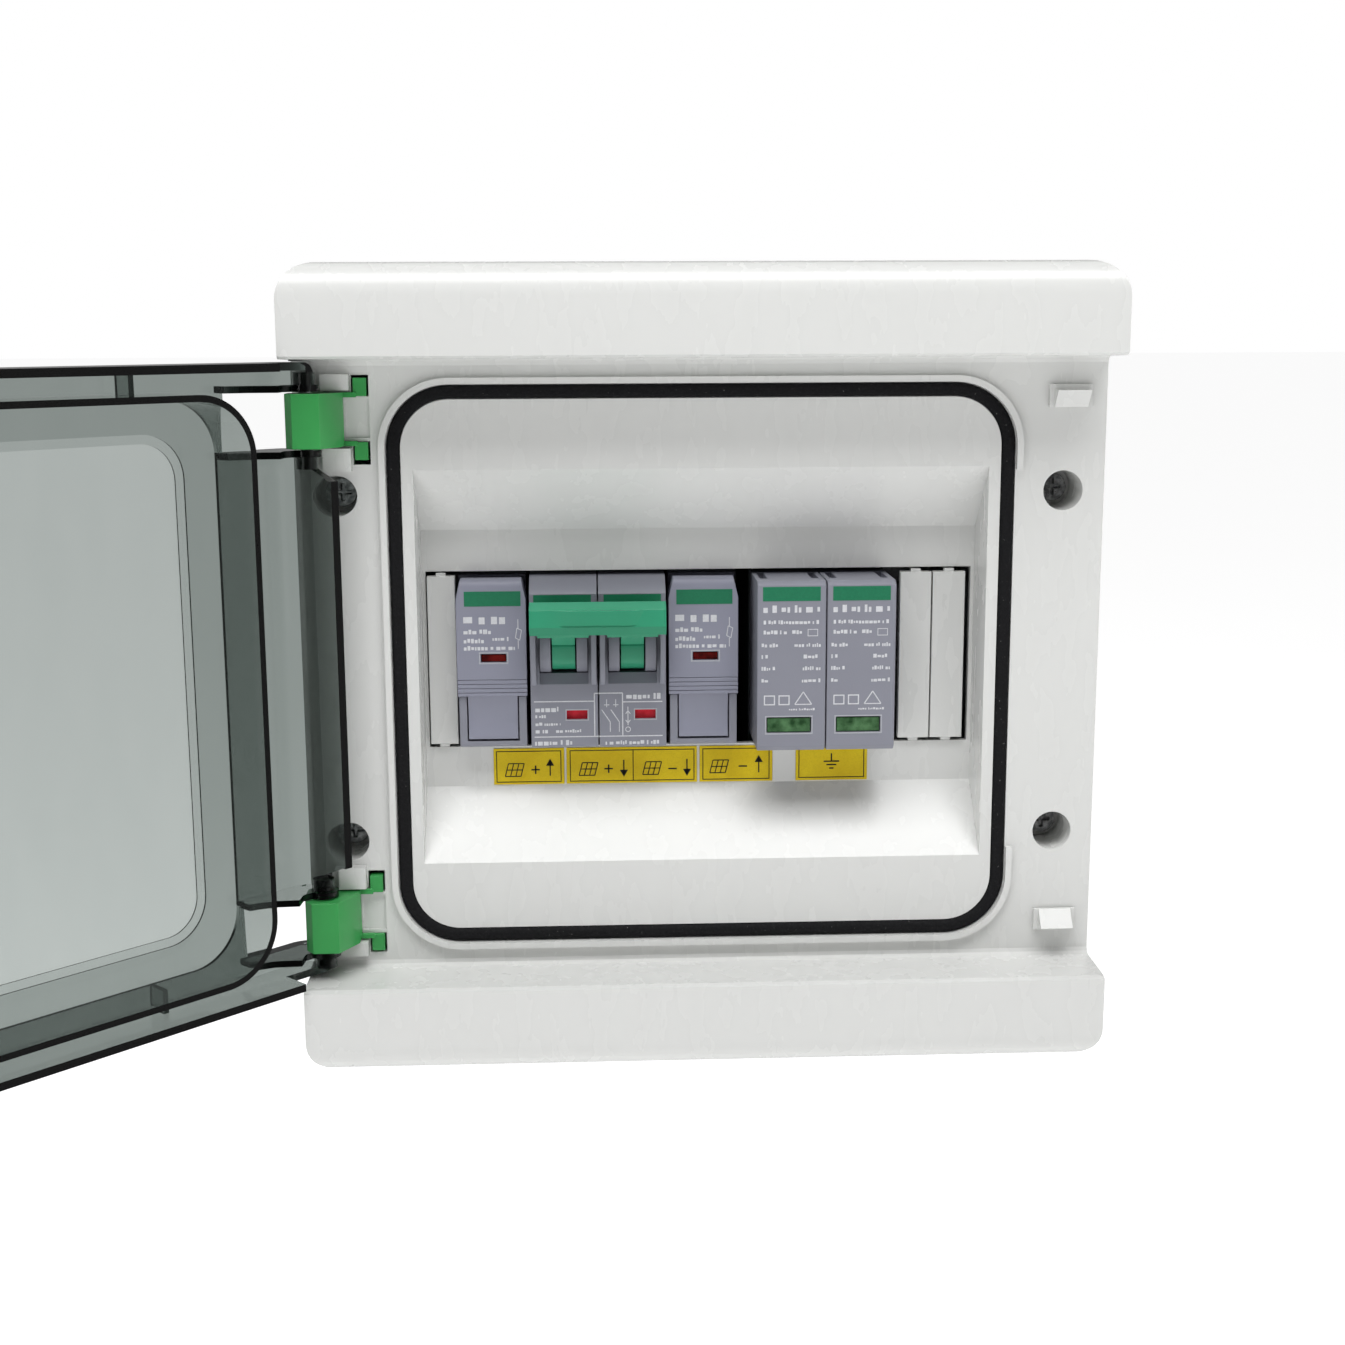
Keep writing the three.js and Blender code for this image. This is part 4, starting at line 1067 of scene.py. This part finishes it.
def spd_cartridge(side):
    """Plug-in cartridge: printed head, window recess, top slots, body and two blades."""
    x = SPD_X[side]
    head_side = [
        (-57.7, -SPD_HALF_Z),
        (-57.7, SPD_HALF_Z),
        (-80.9, SPD_HALF_Z),
        (SPD_FRONT, 21.4),
        (SPD_FRONT, -21.1),
        (-81.3, -SPD_HALF_Z),
    ]
    head = prism("x", head_side, x - SPD_HEAD_HALF, x + SPD_HEAD_HALF)
    parts = [block(x - 8.0, x + 8.0, -58, -29.8, -SPD_HALF_Z, SPD_HALF_Z)]
    for z in (-14, 14):
        parts.append(block(x - 0.7, x + 0.7, -31, -21, z - 3.1, z + 3.1))
    window_x = x + STATUS_DX
    window = (window_x - 5.8, window_x + 5.8)
    cuts = [block(*window, SPD_FRONT - 1, SPD_FRONT + 1.6, -17.4, -13.3)]
    for way in (-1, 1):
        slot_x = x + way * 6.7
        slot = (slot_x - 0.9, slot_x + 0.9)
        cuts.append(block(*slot, -76.4, -64, SPD_HALF_Z - 1.6, SPD_HALF_Z + 1))
    return completed(minus(union(head, parts), cuts), "spd_cartridge_" + side, 0.32)


for device_side in ("left", "right"):
    fuse_base(device_side)
    fuse_carrier(device_side)
    isolator_pole(device_side)
    isolator_toggle(device_side)
    spd_cartridge(device_side)
isolator_tie_bar()
spd_base()


# ---------------------------------------------------------------- seals
def swept_ring(name, half_x, half_z, radius, width, y_front, y_back, crown):
    """A cord laid round a rounded rectangle, its front face crowned."""
    inset = width / 2
    path = rounded_outline(half_x - inset, half_z - inset, radius - inset, 20)
    section = [(-inset, y_back), (inset, y_back)]
    steps = 8
    for i in range(steps + 1):
        t = i / steps
        across = inset - width * t
        bulge = crown * (1 - (2 * t - 1) ** 4)
        section.append((across, y_front + crown - bulge))
    bm = bmesh.new()
    loops = []
    count = len(path)
    for i in range(count):
        before = Vector(path[i - 1])
        after = Vector(path[(i + 1) % count])
        heading = (after - before).normalized()
        outward = Vector((heading.y, -heading.x))
        here = Vector(path[i])
        loops.append(
            [
                bm.verts.new((here.x + outward.x * off, y, here.y + outward.y * off))
                for off, y in section
            ]
        )
    for i in range(count):
        ours = loops[i]
        theirs = loops[(i + 1) % count]
        for j in range(len(section)):
            k = (j + 1) % len(section)
            bm.faces.new((ours[j], theirs[j], theirs[k], ours[k]))
    cord = solid(bm, name)
    cord.data.shade_smooth()
    cord.data.set_sharp_from_angle(angle=math.radians(50.0))
    return to_metres(cord)


def seal_cord(node, inset, corner, width, y_front, y_back, crown):
    """A seal laid inset from the outline that the corner gives as half sizes and radius."""
    outline = [size - inset for size in corner]
    cord = swept_ring(node + "_cord", *outline, width, y_front, y_back, crown)
    return dressed(cord, node + "_cord", "seal_foam", "seal_foam", "enclosure", node)


DOOR_SEAL_CORNER = (SEAL_X, SEAL_Z, SEAL_R)
COVER_SEAL_CORNER = (HALF_W, HALF_H, CORNER_R)
seal_cord("door_seal", 0.25, DOOR_SEAL_CORNER, SEAL_W - 0.3, FIELD_Y - 0.7, FIELD_Y + 1.1, 0.7)
seal_cord("cover_seal", 2.9, COVER_SEAL_CORNER, 2.1, -46.3, -44.3, 0.3)


# ---------------------------------------------------------------- door
HINGE_EAR = [
    (-97, -97.8),
    (-78, -97.8),
    (-78, -93.4),
    (-83.4, -91.2),
    (-88.6, -86.6),
    (-93.4, -90.6),
    (-97, -91.6),
]


def door_outline(inset):
    left = -HALF_W + inset
    right = HALF_W - inset
    front = DOOR_FRONT + inset
    rl = 8 - inset
    rr = 4 - inset
    back = DOOR_BACK + 1 if inset else DOOR_BACK
    return [
        (right, back),
        (left, back),
        *arc(left + rl, front + rl, rl, 180, 270, 14),
        *arc(right - rr, front + rr, rr, 270, 360, 10),
    ]


def hinge_ears():
    """Plates, knuckles, pins and stubs that carry the door on its two hinges."""
    parts = []
    for zc in HINGE_Z:
        half = HINGE_H / 2 + 0.4
        for way in (-1, 1):
            near = zc + way * half
            far = near + way * 1.7
            a, b = sorted((near, far))
            parts.append(prism("z", HINGE_EAR, a, b))
            parts.append(rod("z", 3.8, a, b, AXIS_X, AXIS_Y))
            parts.append(block(-100.6, -92, -96.6, AXIS_Y, a, b))
            p, q = sorted((near - way * 3, far))
            parts.append(rod("z", PIN_R, p, q, AXIS_X, AXIS_Y))
            s, t = sorted((far + way * 3, near))
            parts.append(rod("z", 2.7, s, t, AXIS_X, AXIS_Y))
    return parts


def door_ribs(skin):
    """Short webs between the skirt and the sealing rib."""
    parts = []
    for side in (-1, 1):
        for x in (-52.0, 0.0, 52.0):
            a, b = mirrored_span(side, SEAL_Z - 1.4, DOOR_Z - 1)
            parts.append(block(x - 0.7, x + 0.7, skin - 0.2, -92, a, b))
        a, b = mirrored_span(side, 62.6, 64.2)
        parts.append(block(90, 99, skin - 0.2, -84.4, a, b))
    return parts


def hinge_openings():
    """Notches in the skirt and windows in the skin, where the hinges reach through."""
    cuts = []
    for side in (-1, 1):
        notch = [
            (DOOR_BACK + 1, side * 49.5),
            (DOOR_BACK - 1, side * 49.5),
            (-91.5, side * 52.5),
            (-91.5, side * (DOOR_Z + 1)),
            (DOOR_BACK + 1, side * (DOOR_Z + 1)),
        ]
        cuts.append(prism("x", notch, -HALF_W - 1, -87))
        a, b = mirrored_span(side, 57.2, 71.4)
        cuts.append(block(-HALF_W - 1, -80.4, DOOR_FRONT - 1, DOOR_BACK + 1, a, b))
    return cuts


def door_leaf():
    """The smoked door, shaped shut and then turned to its resting angle."""
    skin = DOOR_FRONT + DOOR_T
    outer = common(
        prism("z", door_outline(0), -DOOR_Z, DOOR_Z),
        [slab(HALF_W, DOOR_Z, 3, DOOR_FRONT - 1, DOOR_BACK + 1, 8)],
    )
    leaf = minus(outer, [prism("z", door_outline(DOOR_T), -DOOR_Z + 2, DOOR_Z - 2)])
    union(leaf, [ring(SEAL_X - 1, SEAL_Z - 1, SEAL_R - 1, 1.6, skin - 0.2, FIELD_Y - 1.1, 16)])
    cuts = [
        slab(PANE_X, PANE_Z, PANE_R, skin - 0.5, skin + 0.6, 14),
        slab(PANE_X - 2.2, PANE_Z - 2.2, PANE_R - 2, skin - 0.9, skin + 0.6, 14),
        block(HALF_W - 1.4, HALF_W + 1, DOOR_FRONT - 1, DOOR_FRONT + 3, -14, 14),
    ]
    minus(leaf, [*cuts, *hinge_openings()])
    union(leaf, [*hinge_ears(), *door_ribs(skin)])
    merged(leaf.data, 1e-4, 0.5)
    softened(leaf, 0.22, 2)
    about = Matrix.Translation((AXIS_X, AXIS_Y, 0))
    turn = Matrix.Rotation(math.radians(-DOOR_OPEN), 4, "Z")
    leaf.data.transform(about @ turn @ about.inverted())
    to_metres(leaf)
    return dressed(leaf, "door_leaf", "smoked_plastic", "smoked_plastic", "door", "door")


door_leaf()


# ---------------------------------------------------------------- prints, by geometry nodes
def group_input(tree, name, kind, default):
    socket = tree.interface.new_socket(name=name, in_out="INPUT", socket_type=kind)
    if default is not None:
        socket.default_value = default
    return socket.identifier


def product(tree, first, second):
    node = tree.nodes.new("ShaderNodeMath")
    node.operation = "MULTIPLY"
    tree.links.new(first, node.inputs[0])
    tree.links.new(second, node.inputs[1])
    return node.outputs["Value"]


def point_attribute(tree, name, kind):
    node = tree.nodes.new("GeometryNodeInputNamedAttribute")
    node.data_type = kind
    node.inputs["Name"].default_value = name
    return node.outputs["Attribute"]


def combined(tree, **parts):
    node = tree.nodes.new("ShaderNodeCombineXYZ")
    for axis, socket in parts.items():
        tree.links.new(socket, node.inputs[axis])
    return node.outputs["Vector"]


def stroke_tree():
    """Lays one thin plate of ink on every point, sized and turned by the point's attributes."""
    tree = bpy.data.node_groups.new("ink_strokes", "GeometryNodeTree")
    geometry = {"name": "Geometry", "socket_type": "NodeSocketGeometry"}
    tree.interface.new_socket(in_out="INPUT", **geometry)
    keys = {
        "Ink Thickness": group_input(tree, "Ink Thickness", "NodeSocketFloat", INK_T * MM),
        "Stroke Scale": group_input(tree, "Stroke Scale", "NodeSocketFloat", 1.0),
        "Ink": group_input(tree, "Ink", "NodeSocketMaterial", None),
    }
    tree.interface.new_socket(in_out="OUTPUT", **geometry)
    link = tree.links.new
    source = tree.nodes.new("NodeGroupInput").outputs
    plate = tree.nodes.new("GeometryNodeMeshCube")
    plate.inputs["Size"].default_value = (1.0, 1.0, 1.0)
    parts = tree.nodes.new("ShaderNodeSeparateXYZ")
    link(point_attribute(tree, "stroke_size", "FLOAT_VECTOR"), parts.inputs["Vector"])
    wide = product(tree, parts.outputs["X"], source["Stroke Scale"])
    tall = product(tree, parts.outputs["Z"], source["Stroke Scale"])
    place = tree.nodes.new("GeometryNodeInstanceOnPoints")
    link(source["Geometry"], place.inputs["Points"])
    link(plate.outputs["Mesh"], place.inputs["Instance"])
    turn = point_attribute(tree, "stroke_turn", "FLOAT")
    link(combined(tree, Y=turn), place.inputs["Rotation"])
    link(combined(tree, X=wide, Y=source["Ink Thickness"], Z=tall), place.inputs["Scale"])
    real = tree.nodes.new("GeometryNodeRealizeInstances")
    link(place.outputs["Instances"], real.inputs["Geometry"])
    paint = tree.nodes.new("GeometryNodeSetMaterial")
    link(real.outputs["Geometry"], paint.inputs["Geometry"])
    link(source["Ink"], paint.inputs["Material"])
    link(paint.outputs["Geometry"], tree.nodes.new("NodeGroupOutput").inputs["Geometry"])
    return tree, keys


STROKES, STROKE_KEYS = stroke_tree()


def inked(name, strokes, ink, slot, body):
    """Prints strokes (x, y, z, width, height, turn) in millimetres as one piece."""
    mesh = bpy.data.meshes.new(name)
    mesh.from_pydata([(x * MM, y * MM, z * MM) for x, y, z, *_ in strokes], [], [])
    mesh.attributes.new("stroke_size", "FLOAT_VECTOR", "POINT")
    mesh.attributes.new("stroke_turn", "FLOAT", "POINT")
    size = mesh.attributes["stroke_size"].data
    turn = mesh.attributes["stroke_turn"].data
    for i, (_, _, _, width, height, angle) in enumerate(strokes):
        size[i].vector = (width * MM, 0.0, height * MM)
        turn[i].value = math.radians(angle)
    piece = new_object(name, mesh)
    modifier = piece.modifiers.new("strokes", "NODES")
    modifier.node_group = STROKES
    modifier[STROKE_KEYS["Ink Thickness"]] = INK_T * MM
    modifier[STROKE_KEYS["Stroke Scale"]] = 1.0
    modifier[STROKE_KEYS["Ink"]] = MATERIAL[ink]
    baked(piece)
    return dressed(piece, name, ink, slot, body)


def bar(x0, x1, z0, z1, y):
    return ((x0 + x1) / 2, y, (z0 + z1) / 2, x1 - x0, z1 - z0, 0.0)


def line(x0, z0, x1, z1, y, width):
    length = math.hypot(x1 - x0, z1 - z0)
    angle = -math.degrees(math.atan2(z1 - z0, x1 - x0))
    return ((x0 + x1) / 2, y, (z0 + z1) / 2, length, width, angle)


def outline_box(x0, x1, z0, z1, y, width):
    h = width / 2
    return [
        bar(x0 - h, x1 + h, z0 - h, z0 + h, y),
        bar(x0 - h, x1 + h, z1 - h, z1 + h, y),
        bar(x0 - h, x0 + h, z0 + h, z1 - h, y),
        bar(x1 - h, x1 + h, z0 + h, z1 - h, y),
    ]


def circle(cx, cz, radius, y, width, steps=16):
    points = arc(cx, cz, radius, 0, 360, steps)
    return [
        line(*points[i], *points[i + 1], y, width)
        for i in range(steps)
    ]


def dash_row(x0, x1, z0, z1, y, seed):
    """A row of plain blocks, wide and narrow, that stands where small print is."""
    rng = random.Random(seed)
    height = z1 - z0
    gap = max(0.16, height * 0.2)
    strokes = []
    x = x0
    while x < x1 - gap:
        width = height * rng.choice((0.35, 0.6, 0.6, 0.9))
        end = min(x + width, x1)
        low = z0 + height * rng.choice((0.0, 0.0, 0.12))
        high = z1 - height * rng.choice((0.0, 0.25, 0.3))
        strokes.append(bar(x, end, low, high, y))
        x = end + gap * rng.choice((1.0, 1.0, 1.0, 3.2))
    return strokes


def dash_rows(x, y, first_seed, rows):
    """Rows given as (x0, x1, z0, z1) from a middle x, each with the next seed."""
    strokes = []
    for seed, (x0, x1, z0, z1) in enumerate(rows, first_seed):
        strokes += dash_row(x + x0, x + x1, z0, z1, y, seed)
    return strokes


FUSE_ROWS = (
    (-6.9, 4.4, 10.6, 13.2),
    (-6.9, 0.2, 8.0, 9.2),
    (-6.9, -1.4, 5.6, 6.8),
    (0.6, 5.1, 6.1, 7.2),
    (-6.9, 6.4, 3.7, 4.9),
)
SURGE_ROWS = (
    (-7.4, 7.3, 14.2, 16.1),
    (-7.3, 7.0, 11.2, 12.2),
    (-7.3, -1.3, 8.6, 9.6),
    (0.1, 2.6, 8.6, 9.6),
)
ISOLATOR_ROWS = (
    (-43.8, -37.7, -13.0, -11.6),
    (-43.8, -40.6, -14.6, -13.8),
    (-43.8, -37.2, -16.7, -15.8),
    (-43.8, -39.6, -18.7, -17.5),
    (-38.4, -31.8, -18.6, -17.7),
    (-44.0, -34.2, -22.0, -20.6),
    (-25.4, -10.7, -22.0, -20.9),
    (-19.8, -10.4, -9.8, -8.2),
)


def fuse_marks(side):
    """White print of a fuse holder, its green panel, and a painted highlight: a lighter frame round the
    rim of the lamp recess.
    """
    x = FUSE_X[side] - (0.3 if side == "left" else 0.5)
    y = NOSE_Y - PRINT_LIFT
    body = "fuse_drawer_" + side
    marks = dash_rows(x, y, 11, FUSE_ROWS)
    for z0, z1 in ((4.0, 6.3), (9.4, 11.8)):
        marks.append(line(x + 7.3, z0, x + 7.3, z1, y, 0.2))
    corners = [(6.6, 6.9), (7.7, 6.3), (8.2, 8.9), (7.0, 9.5), (6.6, 6.9)]
    for (xa, za), (xb, zb) in zip(corners, corners[1:]):
        marks.append(line(x + xa, za, x + xb, zb, y, 0.2))
    inked("fuse_print_" + side, marks, "white_ink", "carrier_plastic", body)
    panel = [bar(x - 6.6, x + 8.1, 15.3, 19.2, y)]
    inked("fuse_panel_" + side, panel, "green_ink", "carrier_plastic", body)
    lamp_x = FUSE_X[side] + LAMP_DX
    # Painted highlight: a thin lighter frame along the lit rim of the lamp recess.
    rim_highlight_bars = outline_box(lamp_x - 3.65, lamp_x + 3.65, 0.2, 3.0, y, 0.34)
    inked("fuse_lamp_rim_highlight_" + side, rim_highlight_bars, "rim_highlight_paint", "carrier_plastic", body)


def surge_marks(side):
    """Print of a surge cartridge: panel, heading, rating rows and plain badges, and a painted highlight
    as a lighter frame round the rim of the window recess.
    """
    x = SPD_X[side]
    y = SPD_FRONT - PRINT_LIFT
    body = "surge_cartridge_" + side
    marks = dash_rows(x, y, 21, SURGE_ROWS)
    marks += outline_box(x + 4.2, x + 6.7, 8.1, 9.8, y, 0.16)
    for i, z in enumerate((5.2, 2.2, -0.9, -4.1)):
        left_end = x - 7.8 + (4.2, 1.8, 3.6, 2.0)[i]
        right_start = x + 7.5 - (6.8, 4.4, 4.6, 4.8)[i]
        marks += dash_row(x - 7.8, left_end, z, z + 1.0, y, 30 + i)
        marks += dash_row(right_start, x + 7.5, z, z + 1.0, y, 40 + i)
    for cx in (x - 5.7, x - 1.9):
        marks += outline_box(cx - 1.3, cx + 1.3, -9.9, -7.6, y, 0.3)
    peak = (x + 3.1, -6.6)
    feet = ((x + 0.9, -9.9), (x + 5.3, -9.9))
    for foot in feet:
        marks.append(line(*peak, *foot, y, 0.26))
    marks.append(line(*feet[0], *feet[1], y, 0.26))
    marks += dash_row(x - 0.6, x + 6.3, -11.5, -10.9, y, 51)
    inked("surge_print_" + side, marks, "white_ink", "device_plastic", body)
    panel = [bar(x - 7.5, x + 7.4, 17.2, 20.9, y)]
    inked("surge_panel_" + side, panel, "green_ink", "device_plastic", body)
    # Painted highlight: a thin lighter frame along the lit rim of the status window recess.
    rim_highlight_bars = outline_box(x - 6.65, x + 5.45, -17.65, -13.05, y, 0.34)
    inked("surge_window_rim_highlight_" + side, rim_highlight_bars, "rim_highlight_paint", "device_plastic", body)


def contact_symbol(x, z_top, z_foot, y):
    """One open switch contact between two short leads, under a short cross bar."""
    middle = (z_top + z_foot) / 2
    return [
        line(x, z_top, x, middle + 2.3, y, 0.2),
        line(x - 0.7, middle + 2.9, x + 0.7, middle + 2.9, y, 0.2),
        line(x - 1.3, middle + 1.6, x + 0.9, middle - 1.7, y, 0.22),
        line(x + 0.9, middle - 1.7, x + 0.9, z_foot, y, 0.2),
    ]


def isolator_marks():
    """Print of the isolator: ruled frame, contact drawing and rating rows, and painted highlights as
    lighter frames round the rims of the flag windows.
    """
    y = NOSE_Y - PRINT_LIFT
    left = -44.1
    right = -10.3
    panel_left = -28.2
    panel_right = -20.8
    foot = -19.7
    head = -8.1
    rule = 0.28
    marks = [
        line(left, -10.2, panel_left, -10.2, y, rule),
        line(panel_left, foot, panel_left, head, y, rule),
        line(panel_left, head, panel_right, head, y, rule),
        line(panel_right, foot, panel_right, head, y, rule),
        line(panel_right, -10.5, right, -10.5, y, rule),
        line(left, foot, right, foot, y, rule),
    ]
    marks += dash_rows(0.0, y, 61, ISOLATOR_ROWS)
    for x in (-25.0, -22.6):
        marks += contact_symbol(x, -9.8, -18.5, y)
    arrow_x = -19.4
    marks.append(line(arrow_x, -11.8, arrow_x, -16.8, y, 0.22))
    for z, dz in ((-12.9, -0.8), (-16.2, 0.8)):
        for dx in (-0.6, 0.6):
            marks.append(line(arrow_x, z, arrow_x + dx, z + dz, y, 0.22))
    marks += circle(arrow_x, -17.9, 0.65, y, 0.2, 12)
    inked("isolator_print", marks, "white_ink", "device_plastic", "enclosure")
    panels = [bar(-43.8, -28.8, 14.9, 18.1, y), bar(-25.5, -10.5, 14.9, 18.1, y)]
    inked("isolator_panels", panels, "green_ink", "device_plastic", "enclosure")
    # Painted highlights: thin lighter frames along the lit rims of the flag window recesses.
    flag_highlight_bars = []
    for x in POLE_X.values():
        flag_highlight_bars += outline_box(x + 0.4, x + 6.2, -15.25, -12.45, y, 0.3)
    inked("isolator_flag_rim_highlights", flag_highlight_bars, "rim_highlight_paint", "device_plastic", "enclosure")


def arrow(x, z_low, z_high, up, y):
    """A slim arrow with a filled head."""
    tip = z_high if up else z_low
    way = -1 if up else 1
    strokes = [line(x, z_low + 0.5, x, z_high - 0.5, y, 0.34)]
    for i in range(7):
        depth = way * (0.15 + 0.26 * i)
        half = 0.12 + 0.15 * i
        strokes.append(bar(x - half, x + half, tip + depth - 0.14, tip + depth + 0.14, y))
    return strokes


def plus_sign(x, z, y, size=1.15):
    return [
        bar(x - size, x + size, z - 0.19, z + 0.19, y),
        bar(x - 0.19, x + 0.19, z - size, z + size, y),
    ]


def minus_sign(x, z, y, size=1.15):
    return [bar(x - size, x + size, z - 0.19, z + 0.19, y)]


def panel_sign(x, z, y):
    """Small drawing of a solar panel: a leaning frame with three columns and two rows."""
    lean = 0.45
    half_w = 2.1
    half_h = 1.75
    strokes = []
    for t in (-1.0, 0.0, 1.0):
        shift = lean * t
        level = z + half_h * t
        strokes.append(line(x - half_w + shift, level, x + half_w + shift, level, y, 0.26))
    for t in (-1.0, -1 / 3, 1 / 3, 1.0):
        foot = (x + half_w * t - lean, z - half_h)
        head = (x + half_w * t + lean, z + half_h)
        strokes.append(line(*foot, *head, y, 0.26))
    return strokes


def earth_sign(x, z, y):
    strokes = [line(x, z + 2.1, x, z - 0.1, y, 0.34)]
    for i, half in enumerate((2.1, 1.35, 0.6)):
        strokes.append(bar(x - half, x + half, z - 0.28 - 0.95 * i, z + 0.08 - 0.95 * i, y))
    return strokes


def label_marks():
    """Black frames and plain signs on the four yellow labels."""
    y = MASK_Y - LABEL_T - PRINT_LIFT
    foot = -33.5
    head = -25.1
    middle = -30.2
    high = -30.0
    marks = []
    for x0, x1, z0 in ((-54.6, -37.4, foot), (-34.9, -1.6, foot), (0.8, 18.7, foot), (26.8, 44.4, -33.4)):
        marks += outline_box(x0, x1, z0, head, y, 0.22)
    marks.append(line(-18.0, foot, -18.0, head, y, 0.22))
    for x, z in ((-49.8, middle), (-30.0, middle), (-12.9, middle), (5.2, high)):
        marks += panel_sign(x, z, y)
    for x in (-44.2, -24.6):
        marks += plus_sign(x, middle, y)
    for x, z in ((-7.4, -30.4), (11.6, high)):
        marks += minus_sign(x, z, y)
    for x, up in ((-40.3, True), (-20.5, False), (-3.5, False)):
        marks += arrow(x, -32.4, -27.3, up, y)
    marks += arrow(15.9, -32.3, -27.1, True, y)
    marks += earth_sign(35.6, -28.9, y)
    inked("label_print", marks, "black_ink", "label_film", "enclosure")


for side_name in ("left", "right"):
    fuse_marks(side_name)
    surge_marks(side_name)
isolator_marks()
label_marks()


# ---------------------------------------------------------------- floor, light and camera
FLOOR_Z = -0.34
FLOOR_HALF = 30.0
EYE = (-0.02813, -0.55288, 0.08618)
EYE_YAW = 0.0428
EYE_PITCH = 0.1832
EYE_ROLL = -0.0045
LENS = 49.68


def studio_floor():
    bm = bmesh.new()
    bmesh.ops.create_grid(bm, x_segments=2, y_segments=2, size=FLOOR_HALF)
    floor = solid(bm, "studio_floor")
    floor.data.transform(Matrix.Translation((0.0, 0.0, FLOOR_Z)))
    s = Surface("studio_floor")
    cloud = s.noise(3.0, 2.0)
    s.colour(s.mixed(cloud, (0.90, 0.90, 0.90), (0.93, 0.93, 0.93)))
    s.gloss(s.mapped(cloud, 0.3, 0.7, 0.8, 0.9))
    s.set(Emission_Color=(1.0, 1.0, 1.0, 1.0), Emission_Strength=0.74)
    floor.data.materials.append(s.material)
    floor.visible_glossy = False


def soft_light(name, place, target, size, power):
    data = bpy.data.lights.new(name, "AREA")
    data.shape = "RECTANGLE"
    data.size = size[0]
    data.size_y = size[1]
    data.energy = power
    lamp = bpy.data.objects.new(name, data)
    lamp.location = place
    aim = Vector(target) - Vector(place)
    lamp.rotation_euler = aim.to_track_quat("-Z", "Y").to_euler()
    bpy.context.scene.collection.objects.link(lamp)


def white_room(backdrop, ambient, front):
    """White surroundings: full where they are seen, dimmer as light, dimmest in front."""
    world = bpy.data.worlds.new("white_room")
    bpy.context.scene.world = world
    world.use_nodes = True
    nodes = world.node_tree.nodes
    link = world.node_tree.links.new
    nodes.clear()
    output = nodes.new("ShaderNodeOutputWorld")
    background = nodes.new("ShaderNodeBackground")
    background.inputs["Color"].default_value = (1.0, 1.0, 1.0, 1.0)
    axes = nodes.new("ShaderNodeSeparateXYZ")
    link(nodes.new("ShaderNodeTexCoord").outputs["Generated"], axes.inputs["Vector"])
    glow = nodes.new("ShaderNodeMapRange")
    glow.inputs["From Min"].default_value = -0.88
    glow.inputs["From Max"].default_value = -0.45
    glow.inputs["To Min"].default_value = front
    glow.inputs["To Max"].default_value = ambient
    link(axes.outputs["Y"], glow.inputs["Value"])
    path = nodes.new("ShaderNodeLightPath")
    seen = nodes.new("ShaderNodeMath")
    seen.operation = "MAXIMUM"
    link(path.outputs["Is Camera Ray"], seen.inputs[0])
    link(path.outputs["Is Transmission Ray"], seen.inputs[1])
    strength = nodes.new("ShaderNodeMapRange")
    strength.inputs["To Max"].default_value = backdrop
    link(glow.outputs["Result"], strength.inputs["To Min"])
    link(seen.outputs["Value"], strength.inputs["Value"])
    link(strength.outputs["Result"], background.inputs["Strength"])
    link(background.outputs["Background"], output.inputs["Surface"])


def viewpoint():
    level_reach = math.cos(EYE_PITCH)
    forward = Vector(
        (math.sin(EYE_YAW) * level_reach, math.cos(EYE_YAW) * level_reach, -math.sin(EYE_PITCH))
    )
    level = Vector((math.cos(EYE_YAW), -math.sin(EYE_YAW), 0.0))
    upright = level.cross(forward)
    right = math.cos(EYE_ROLL) * level + math.sin(EYE_ROLL) * upright
    up = -math.sin(EYE_ROLL) * level + math.cos(EYE_ROLL) * upright
    data = bpy.data.cameras.new("viewpoint")
    data.sensor_width = 36.0
    data.lens = LENS
    data.clip_start = 0.01
    data.clip_end = 200.0
    camera = bpy.data.objects.new("viewpoint", data)
    bpy.context.scene.collection.objects.link(camera)
    turn = Matrix((right, up, -forward)).transposed()
    camera.matrix_world = Matrix.Translation(EYE) @ turn.to_4x4()
    bpy.context.scene.camera = camera


studio_floor()
middle = (0.0, 0.0, 0.0)
soft_light("overhead_panel", (0.02, -0.52, 0.95), (0.0, -0.05, 0.0), (1.1, 0.5), 11.0)
soft_light("left_fill", (-1.1, -1.2, 0.12), middle, (1.0, 0.8), 1.9)
soft_light("right_fill", (1.25, -1.3, 0.12), middle, (1.0, 0.8), 0.5)
white_room(1.0, 0.26, 0.05)
viewpoint()
bpy.context.scene.view_settings.view_transform = "Standard"
bpy.context.scene.view_settings.look = "None"
